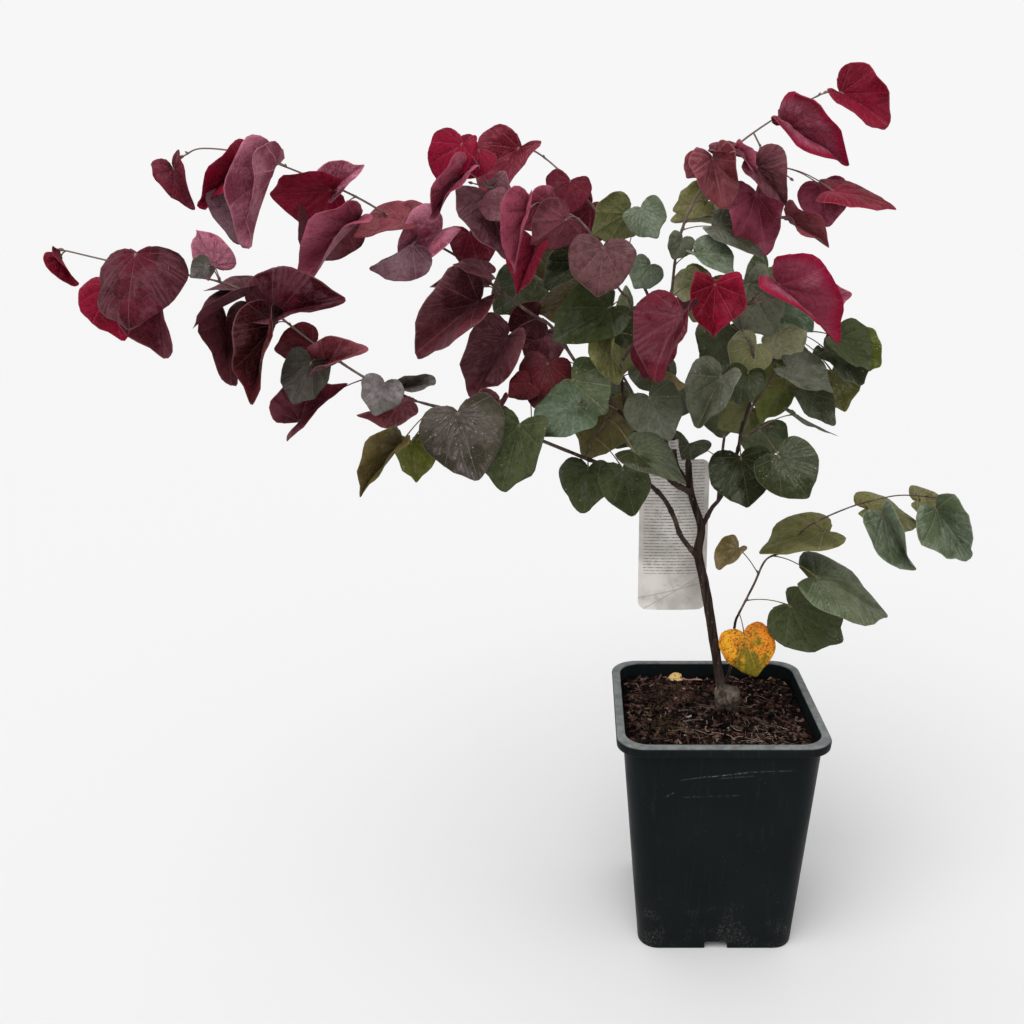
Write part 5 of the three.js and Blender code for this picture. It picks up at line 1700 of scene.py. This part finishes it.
def rounded_box(size, place, round_edges):
    """A box with rounded edges, for cutting or filling."""
    bpy.ops.mesh.primitive_cube_add(size=1, location=(0, 0, 0))
    made = bpy.context.object
    made.data.transform(Matrix.LocRotScale(Vector(place) * MM, None, Vector(size) * MM))
    bpy.ops.object.mode_set(mode="EDIT")
    bpy.ops.mesh.select_all(action="SELECT")
    bpy.ops.mesh.bevel(offset=round_edges * MM, segments=EDGE_STEPS, affect="EDGES")
    bpy.ops.object.mode_set(mode="OBJECT")
    return made


def boolean(piece, tool, operation):
    """Joins or cuts a piece by a tool, which is then removed."""
    start_clean()
    bpy.context.view_layer.objects.active = piece
    modifier = piece.modifiers.new(operation.lower(), "BOOLEAN")
    modifier.operation = operation
    modifier.solver = "EXACT"
    modifier.object = tool
    bpy.ops.object.modifier_apply(modifier=modifier.name)
    bpy.data.objects.remove(tool)


def on_each_side(pot, operation, size, place, round_edges):
    """Joins or cuts the pot by a rounded box on each of its four sides."""
    for quarter in range(4):
        tool = rounded_box(size, place, round_edges)
        tool.data.transform(Matrix.Rotation(math.pi / 2 * quarter, 4, "Z"))
        boolean(pot, tool, operation)


def drain(pot):
    """Cuts the four holes in the pot's floor."""
    for x in (-1, 1):
        for y in (-1, 1):
            start_clean()
            bpy.ops.mesh.primitive_cylinder_add(vertices=32, radius=DRAIN_RADIUS * MM, depth=4 * POT_FLOOR * MM)
            hole = bpy.context.object
            hole.data.transform(Matrix.Translation(Vector((x, y, 0)) * DRAIN_OFFSET * MM))
            boolean(pot, hole, "DIFFERENCE")


def select_only(piece):
    start_clean()
    piece.select_set(True)
    bpy.context.view_layer.objects.active = piece


def make_pot():
    """The pot: a round-cornered square raised by extrusion, rim turned out, then cut for drainage."""
    start_clean()
    bpy.ops.mesh.primitive_plane_add(size=POT_BOTTOM * MM, location=(0, 0, 0))
    pot = bpy.context.object
    pot.name = "pot_shell"
    bpy.ops.object.mode_set(mode="EDIT")
    bpy.ops.mesh.select_all(action="SELECT")
    bpy.ops.mesh.bevel(offset=POT_CORNER * MM, segments=10, affect="VERTICES")
    bpy.ops.mesh.select_all(action="SELECT")
    height, width = 0, POT_BOTTOM
    for next_height, next_width in pot_profile():
        raise_face(next_height - height, next_width / width)
        height, width = next_height, next_width
    bpy.ops.mesh.select_all(action="DESELECT")
    bpy.ops.mesh.select_mode(type="EDGE")
    bpy.ops.mesh.edges_select_sharp(sharpness=math.radians(50))
    bpy.ops.mesh.bevel(offset=EDGE_ROUND * MM, segments=EDGE_STEPS, affect="EDGES")
    bpy.ops.mesh.select_all(action="SELECT")
    bpy.ops.mesh.normals_make_consistent(inside=False)
    bpy.ops.object.mode_set(mode="OBJECT")
    half = POT_BOTTOM / 2
    depth, base = NOTCH_DEPTH + 1.5 * POT_WALL, POT_FLOOR / 2
    rise = NOTCH_HEIGHT + POT_WALL - base
    middle = (half - POT_WALL / 2 - depth / 2, 0, base + rise / 2)
    on_each_side(pot, "UNION", (depth, NOTCH_WIDTH + 2 * POT_WALL, rise), middle, POCKET_ROUND)
    cut = (2 * NOTCH_DEPTH, NOTCH_WIDTH, 2 * NOTCH_HEIGHT)
    on_each_side(pot, "DIFFERENCE", cut, (half, 0, 0), NOTCH_ROUND)
    drain(pot)
    select_only(pot)
    bpy.ops.object.transform_apply(location=True, rotation=True, scale=True)
    bpy.ops.object.shade_smooth_by_angle(angle=math.radians(35))
    pot.data.materials.clear()
    pot.data.materials.append(pot_finish())
    return finish_piece(pot, "pot_plastic", "pot")


def card_bend(x):
    """How far the card bows forward at a distance from its middle."""
    return CARD_BOW * (0.5 - (1 - (x / (TAG_WIDTH / 2)) ** 2))


def add_card(shape):
    """The card: a thin, bowed sheet with round corners, closed all round."""
    half, low, rows = TAG_WIDTH / 2, TAG_TOP - TAG_HEIGHT, CARD_STEPS + 1
    front = []
    for column in range(-CARD_STEPS, CARD_STEPS + 1):
        x = half * math.sin(math.pi / 2 * column / CARD_STEPS)
        inset = max(abs(x) - (half - TAG_CORNER), 0)
        cut = TAG_CORNER - math.sqrt(max(TAG_CORNER**2 - inset**2, 0))
        for row in range(rows):
            z = low + cut + (TAG_HEIGHT - 2 * cut) * row / CARD_STEPS
            lean = CARD_LEAN * math.sin(3.1 * (z - low) / TAG_HEIGHT) * (x / half)
            front.append(Vector((TAG_MIDDLE[0] + x, TAG_MIDDLE[1] + card_bend(x) + lean, z)))
    back = [place + Vector((0, CARD_THICKNESS, 0)) for place in front]
    count = len(front)
    faces = []
    for start in range(0, count - rows, rows):
        for a in range(start, start + rows - 1):
            b = a + rows
            faces.append((a, b, b + 1, a + 1))
            faces.append((a + count, a + 1 + count, b + 1 + count, b + count))
        a, b = start, start + rows
        faces.append((a, a + count, b + count, b))
        a, b = a + rows - 1, b + rows - 1
        faces.append((a, b, b + count, a + count))
    for a in range(rows - 1):
        b = a + count - rows
        faces.append((a, a + 1, a + 1 + count, a + count))
        faces.append((b, b + count, b + 1 + count, b + 1))
    shape.add(front + back, faces)


def make_tag():
    """A blank card with round corners, its strap, and the loop that holds it to the leader."""
    shape = Shape()
    add_card(shape)
    points = Line(BOUGHS["bough_leader"]["path"]).points
    step = next(i for i, p in enumerate(points) if p.z > LOOP_LEVEL)
    add_strap(shape, points[step], (points[step + 1] - points[step]).normalized())
    piece = shape.build("tag_blank", [card_finish()])
    select_only(piece)
    bpy.ops.object.shade_smooth_by_angle(angle=math.radians(40))
    return finish_piece(piece, "tag_card", "hang_tag")


def ribbon(shape, points, widths, width_axis, thickness):
    """A flat strip along points, closed all round."""
    places = []
    for i, (point, width) in enumerate(zip(points, widths)):
        direction = direction_at(points, i)
        wide = square_to(direction, width_axis) * (width / 2)
        deep = direction.cross(wide).normalized() * (thickness / 2)
        places += [point - wide - deep, point + wide - deep, point + wide + deep, point - wide + deep]
    shape.add(places, ring_faces(len(points), 4))


def add_strap(shape, centre, direction):
    """The card's neck rises to the leader, and a loop round the leader is linked to its end."""
    x, y = TAG_MIDDLE[0], TAG_MIDDLE[1] + card_bend(0) + CARD_THICKNESS / 2
    neck = [
        Vector((x, y, TAG_TOP - 4)),
        Vector((x, y, TAG_TOP + 1)),
        Vector((x - 0.8, y + 0.6, TAG_TOP + 6)),
        Vector((centre.x + 0.5, y + 0.8, centre.z - 5)),
        Vector((centre.x, y + 0.4, centre.z + LOOP_WIDTH / 2)),
    ]
    fine = Line(neck, 6).points
    widths = [TAG_NECK + 9 * max(0, 1 - i / 9) ** 2 for i in range(len(fine))]
    ribbon(shape, fine, widths, Vector((1, 0, 0)), CARD_THICKNESS)
    side = square_to(direction, Vector((1, 0, 0)))
    up = direction.cross(side)
    radius = LOOP_INSIDE + LOOP_THICKNESS / 2
    angles = [2 * math.pi * k / LOOP_SIDES for k in range(LOOP_SIDES)]
    loop = [around(centre, side, up, radius, angle) for angle in angles]
    add_band(shape, loop, direction, LOOP_WIDTH, LOOP_THICKNESS, centre)
    loop_back = centre.y + LOOP_INSIDE
    link = [Vector((centre.x, between((loop_back, y), share), centre.z)) for share in (0, 0.5, 1)]
    ribbon(shape, link, [LOOP_WIDTH * 0.8] * 3, Vector((0, 0, 1)), LINK_THICKNESS)


def add_band(shape, loop, axis, width, thickness, centre):
    """A closed band round a limb."""
    places = []
    half = axis * (width / 2)
    for point in loop:
        deep = (point - centre).normalized() * (thickness / 2)
        places += [point - half - deep, point + half - deep, point + half + deep, point - half + deep]
    faces = []
    for start in range(0, len(places), 4):
        for k in range(4):
            a, b = start + k, start + (k + 1) % 4
            faces.append(tuple(corner % len(places) for corner in (a, a + 4, b + 4, b)))
    shape.add(places, faces)


BOUGH_SLIM = 0.8  # share of the solid's radius, which holds the knots and collars too
BOUGH_STEPS = 24
BOUGH_SIDES = 14
BOUGH_COLLAR = 0.4  # of the radius
FIRST_KNOT = 16  # from the foot of a bough
LAST_KNOT = 6  # from its tip, at least
KNOT_SPACING = 27
STEM_SLIM = 0.85
STEM_SIDES = 9
STALK_SIDES = 7
STALK_SWELL = [1.7, 1.25, 1.05, 1, 1, 1, 1, 1.05, 1.25, 1.65, 1.8, 0.7]  # of its radius, from the foot
BUD_GIRTH = [(-0.3, 0.3), (0.1, 0.42), (0.4, 0.4), (0.75, 0.22), (1, 0.03)]  # shares of its length
BUD_RISE = Vector((0, 0, 1.2))  # how far a bud stands above and leans up from its stalk's foot
STEM_BUD = 3.4  # length of the bud at the end of a stem
STALK_BUD = 2.4
BUD_OFFSET = 1.6
SHORT_STALK = 8  # has no bud
KNOT_HEIGHT = 0.35  # of the tip's radius
KNOT_SPREAD = 2.2
KNOT_REACH = 8
COLLAR_SPREAD = 7
LIMB_END = 0.6  # width of a limb's last ring, of its own


def make_boughs():
    """Each bough as a finely ridged limb with its knots."""
    finish = bark_finish("bough_bark", linear(52, 38, 33), linear(92, 76, 68))
    for name, bough in BOUGHS.items():
        shape = Shape()
        length = Line(bough["path"], BOUGH_STEPS).length
        knots = np.arange(FIRST_KNOT, length - LAST_KNOT, KNOT_SPACING)
        limb_tube(shape, bough, BOUGH_SLIM, BOUGH_STEPS, BOUGH_SIDES, knots, BOUGH_COLLAR)
        finish_piece(shape.build(name + "_wood", [finish]), "bark", name)


def leaf_stalk(shape, foot, leaf, sizes, slot):
    """A thin stalk, swollen at both ends, that runs on under the blade's midrib."""
    points = leaf.stalk(foot, len(STALK_SWELL) - 2)
    points[-1] = leaf.place(STALK_ROOT * leaf.midrib * 0.6, 0) - leaf.normal * 0.5
    thin = sizes.stalk_radius / MM
    shape.add(*tube(points, lambda i, a: thin * STALK_SWELL[i], STALK_SIDES), slot)


def bud(shape, foot, outward, length):
    """A small pointed bud."""
    points = [foot + outward * (length * share) for share, girth in BUD_GIRTH]
    shape.add(*tube(points, lambda i, a: length * BUD_GIRTH[i][1], STALK_SIDES))


def make_twigs(mass, finishes, sizes):
    """The stems, stalks and buds of one mass."""
    shape = Shape()
    for stem, line in zip(mass["stems"], mass["lines"]):
        near = [line.nearest(foot) for foot, leaf in mass["grown"]]
        knots = [run for run, apart in near if apart < 1]
        limb_tube(shape, stem, STEM_SLIM, SPAN_STEPS, STEM_SIDES, knots)
        bud(shape, *line.at(line.length), STEM_BUD)
    for foot, leaf in mass["grown"]:
        leaf_stalk(shape, foot, leaf, sizes, 1 if leaf.tint in RED_TINTS else 2)
        away = leaf.base - foot
        if away.length > SHORT_STALK:
            away.normalize()
            bud(shape, foot + away * BUD_OFFSET + BUD_RISE, (away + BUD_RISE).normalized(), STALK_BUD)
    return shape.build("twigs_" + mass["name"].replace("foliage_", ""), finishes)


def make_leaves(mass, number, finishes, sizes):
    """The blades of one mass, each in its own tint."""
    blades = Blades(len(mass["grown"]))
    skins = list(dict.fromkeys((leaf.tint, side) for foot, leaf in mass["grown"] for side in SIDES))
    for i, (foot, leaf) in enumerate(mass["grown"]):
        slots = [skins.index((leaf.tint, side)) for side in SIDES]
        draw = random_from(MASS_SEEDS * number + LEAF_SEEDS * i + FIRST_SEED)
        blades.add(leaf, draw, sizes.leaf_thickness / MM, *slots)
    for skin in skins:
        if skin not in finishes:
            finishes[skin] = tint_finish(*skin)
    return blades.build("leaves_" + mass["name"].replace("foliage_", ""), [finishes[skin] for skin in skins])


def tint_finish(tint, side):
    under = side == "under"
    name = f"leaf_{tint}_{side}"
    if tint == "yellow":
        return yellow_finish(name, under)
    colour = tuple(getattr(bpy.context.scene.redbud_tints, tint + ("_under" if under else "")))
    return leaf_finish(name, colour, under, PAINTED_SHEEN.get(tint, 1.0))


def slot_of(node):
    """The record's slot of a CAD node."""
    return next(part["material_slot"] for part in frame["record"]["subparts"] if part["node"] == node)


# ---- settings a user would change ----
def colour_property(name, description, colour):
    return bpy.props.FloatVectorProperty(
        name=name, description=description, subtype="COLOR", size=3, min=0, max=1, default=colour
    )


def length_property(name, description, default):
    return bpy.props.FloatProperty(
        name=name,
        description=description,
        subtype="DISTANCE",
        unit="LENGTH",
        min=0,
        precision=5,
        default=default,
    )


class RedbudTints(bpy.types.PropertyGroup):
    """Colours of the leaves, by tint, for the upper side and for the underside"""

    __annotations__ = {
        tint + ending: colour_property(
            f"{tint} {side}".capitalize(), f"The {side} of the {tint} leaves", linear(*pair[i])
        )
        for tint, pair in TINTS.items()
        for i, (side, ending) in enumerate((("upper side", ""), ("underside", "_under")))
    }


class RedbudColours(bpy.types.PropertyGroup):
    """Colours of the pot, the soil and the floor"""

    pot: colour_property("Pot", "The pot's plastic", linear(18, 23, 24))
    soil: colour_property("Soil", "The damp peat between the chips", linear(18, 10, 8))
    floor: colour_property("Floor", "The floor under the pot", (0.64, 0.64, 0.64))


class RedbudSizes(bpy.types.PropertyGroup):
    """Sizes of the finer parts that the CAD frame leaves open"""

    leaf_thickness: length_property("Leaf thickness", "Thickness of each blade", 0.00042)
    stalk_radius: length_property("Stalk radius", "Radius of each leaf's stalk", 0.00055)
    chips: bpy.props.IntProperty(
        name="Bark chips", description="Number of chips on the soil", min=0, soft_max=4000, default=1900
    )


# ---- operators ----
class REDBUD_OT_pot(bpy.types.Operator):
    """Makes the moulded nursery pot"""

    bl_idname = "redbud.pot"
    bl_label = "Pot"

    def execute(self, context):
        make_pot()
        return {"FINISHED"}


class REDBUD_OT_soil(bpy.types.Operator):
    """Fills the pot with soil, chips, strands and a fallen leaf"""

    bl_idname = "redbud.soil"
    bl_label = "Soil"

    def execute(self, context):
        make_soil_bed()
        make_chips()
        make_strands()
        make_fallen_leaf()
        return {"FINISHED"}


class REDBUD_OT_limbs(bpy.types.Operator):
    """Makes the trunk and its boughs, with the bark's relief"""

    bl_idname = "redbud.limbs"
    bl_label = "Trunk and boughs"

    def execute(self, context):
        make_trunk()
        make_boughs()
        return {"FINISHED"}


class REDBUD_OT_foliage(bpy.types.Operator):
    """Grows the twigs and leaves of every mass of foliage"""

    bl_idname = "redbud.foliage"
    bl_label = "Foliage"

    def execute(self, context):
        sizes = context.scene.redbud_sizes
        barks = [
            bark_finish("twig_bark", linear(88, 70, 65), linear(146, 130, 120)),
            bark_finish("stalk_purple", linear(104, 62, 66), linear(146, 108, 104)),
            bark_finish("stalk_green", linear(116, 100, 74), linear(146, 132, 104)),
        ]
        finishes = {}
        for number, (name, mass) in enumerate(grow_masses().items()):
            twigs = make_twigs(mass, barks, sizes)
            leaves = make_leaves(mass, number, finishes, sizes)
            finish_piece(twigs, "bark", name)
            finish_piece(leaves, slot_of(name), name)
        return {"FINISHED"}


class REDBUD_OT_tag(bpy.types.Operator):
    """Hangs the blank tag on the leader"""

    bl_idname = "redbud.tag"
    bl_label = "Hang tag"

    def execute(self, context):
        make_tag()
        return {"FINISHED"}


class REDBUD_OT_stage(bpy.types.Operator):
    """Sets the pale floor, the soft light and the camera"""

    bl_idname = "redbud.stage"
    bl_label = "Stage"

    def execute(self, context):
        start_clean()
        bpy.ops.mesh.primitive_plane_add(size=FLOOR_SIDE, location=(0, 0, 0))
        floor = bpy.context.object
        floor.name = "floor"
        paint = Paint("floor_pale", 0.9, 0.1)
        paint.set("Base Color", context.scene.redbud_colours.floor)
        floor.data.materials.append(paint.material)
        world = bpy.data.worlds.new("studio")
        world.use_nodes = True
        sky = world.node_tree.nodes["Background"]
        sky.inputs["Color"].default_value = (1, 1, 1, 1)
        sky.inputs["Strength"].default_value = WORLD_LIGHT
        context.scene.world = world
        data = bpy.data.lights.new("soft_sun", "SUN")
        data.energy, data.angle = SUN_LIGHT, math.radians(SUN_SPREAD)
        lamp = bpy.data.objects.new("soft_sun", data)
        lamp.rotation_euler = [math.radians(a) for a in SUN_TURN]
        context.scene.collection.objects.link(lamp)
        data = bpy.data.cameras.new("camera")
        data.sensor_width, data.lens, data.shift_x = 36.0, CAMERA_LENS, CAMERA_SHIFT
        camera = bpy.data.objects.new("camera", data)
        camera.location = CAMERA_PLACE
        camera.rotation_euler = (math.radians(90 - CAMERA_PITCH), 0, 0)
        context.scene.collection.objects.link(camera)
        context.scene.camera = camera
        context.scene.view_settings.view_transform = "Standard"
        return {"FINISHED"}


class REDBUD_PT_panel(bpy.types.Panel):
    """The steps that make the plant, in order, and its settings"""

    bl_idname = "REDBUD_PT_panel"
    bl_label = "Potted redbud"
    bl_space_type = "VIEW_3D"
    bl_region_type = "UI"
    bl_category = "Redbud"

    def draw(self, context):
        for step in STEPS:
            self.layout.operator(step.bl_idname)
        for group in (context.scene.redbud_sizes, context.scene.redbud_colours, context.scene.redbud_tints):
            for name in group.bl_rna.properties.keys():
                if name not in ("name", "rna_type"):
                    self.layout.prop(group, name)


STEPS = (
    REDBUD_OT_pot,
    REDBUD_OT_soil,
    REDBUD_OT_limbs,
    REDBUD_OT_foliage,
    REDBUD_OT_tag,
    REDBUD_OT_stage,
)
GROUPS = (RedbudSizes, RedbudColours, RedbudTints)


def register():
    for kind in (*GROUPS, *STEPS, REDBUD_PT_panel):
        bpy.utils.register_class(kind)
    bpy.types.Scene.redbud_sizes = bpy.props.PointerProperty(type=RedbudSizes)
    bpy.types.Scene.redbud_colours = bpy.props.PointerProperty(type=RedbudColours)
    bpy.types.Scene.redbud_tints = bpy.props.PointerProperty(type=RedbudTints)


def unregister():
    for name in ("redbud_sizes", "redbud_colours", "redbud_tints"):
        delattr(bpy.types.Scene, name)
    for kind in reversed((*GROUPS, *STEPS, REDBUD_PT_panel)):
        bpy.utils.unregister_class(kind)


def main():
    register()
    bpy.ops.redbud.pot()
    bpy.ops.redbud.soil()
    bpy.ops.redbud.limbs()
    bpy.ops.redbud.foliage()
    bpy.ops.redbud.tag()
    bpy.ops.redbud.stage()


if __name__ == "__main__":
    main()
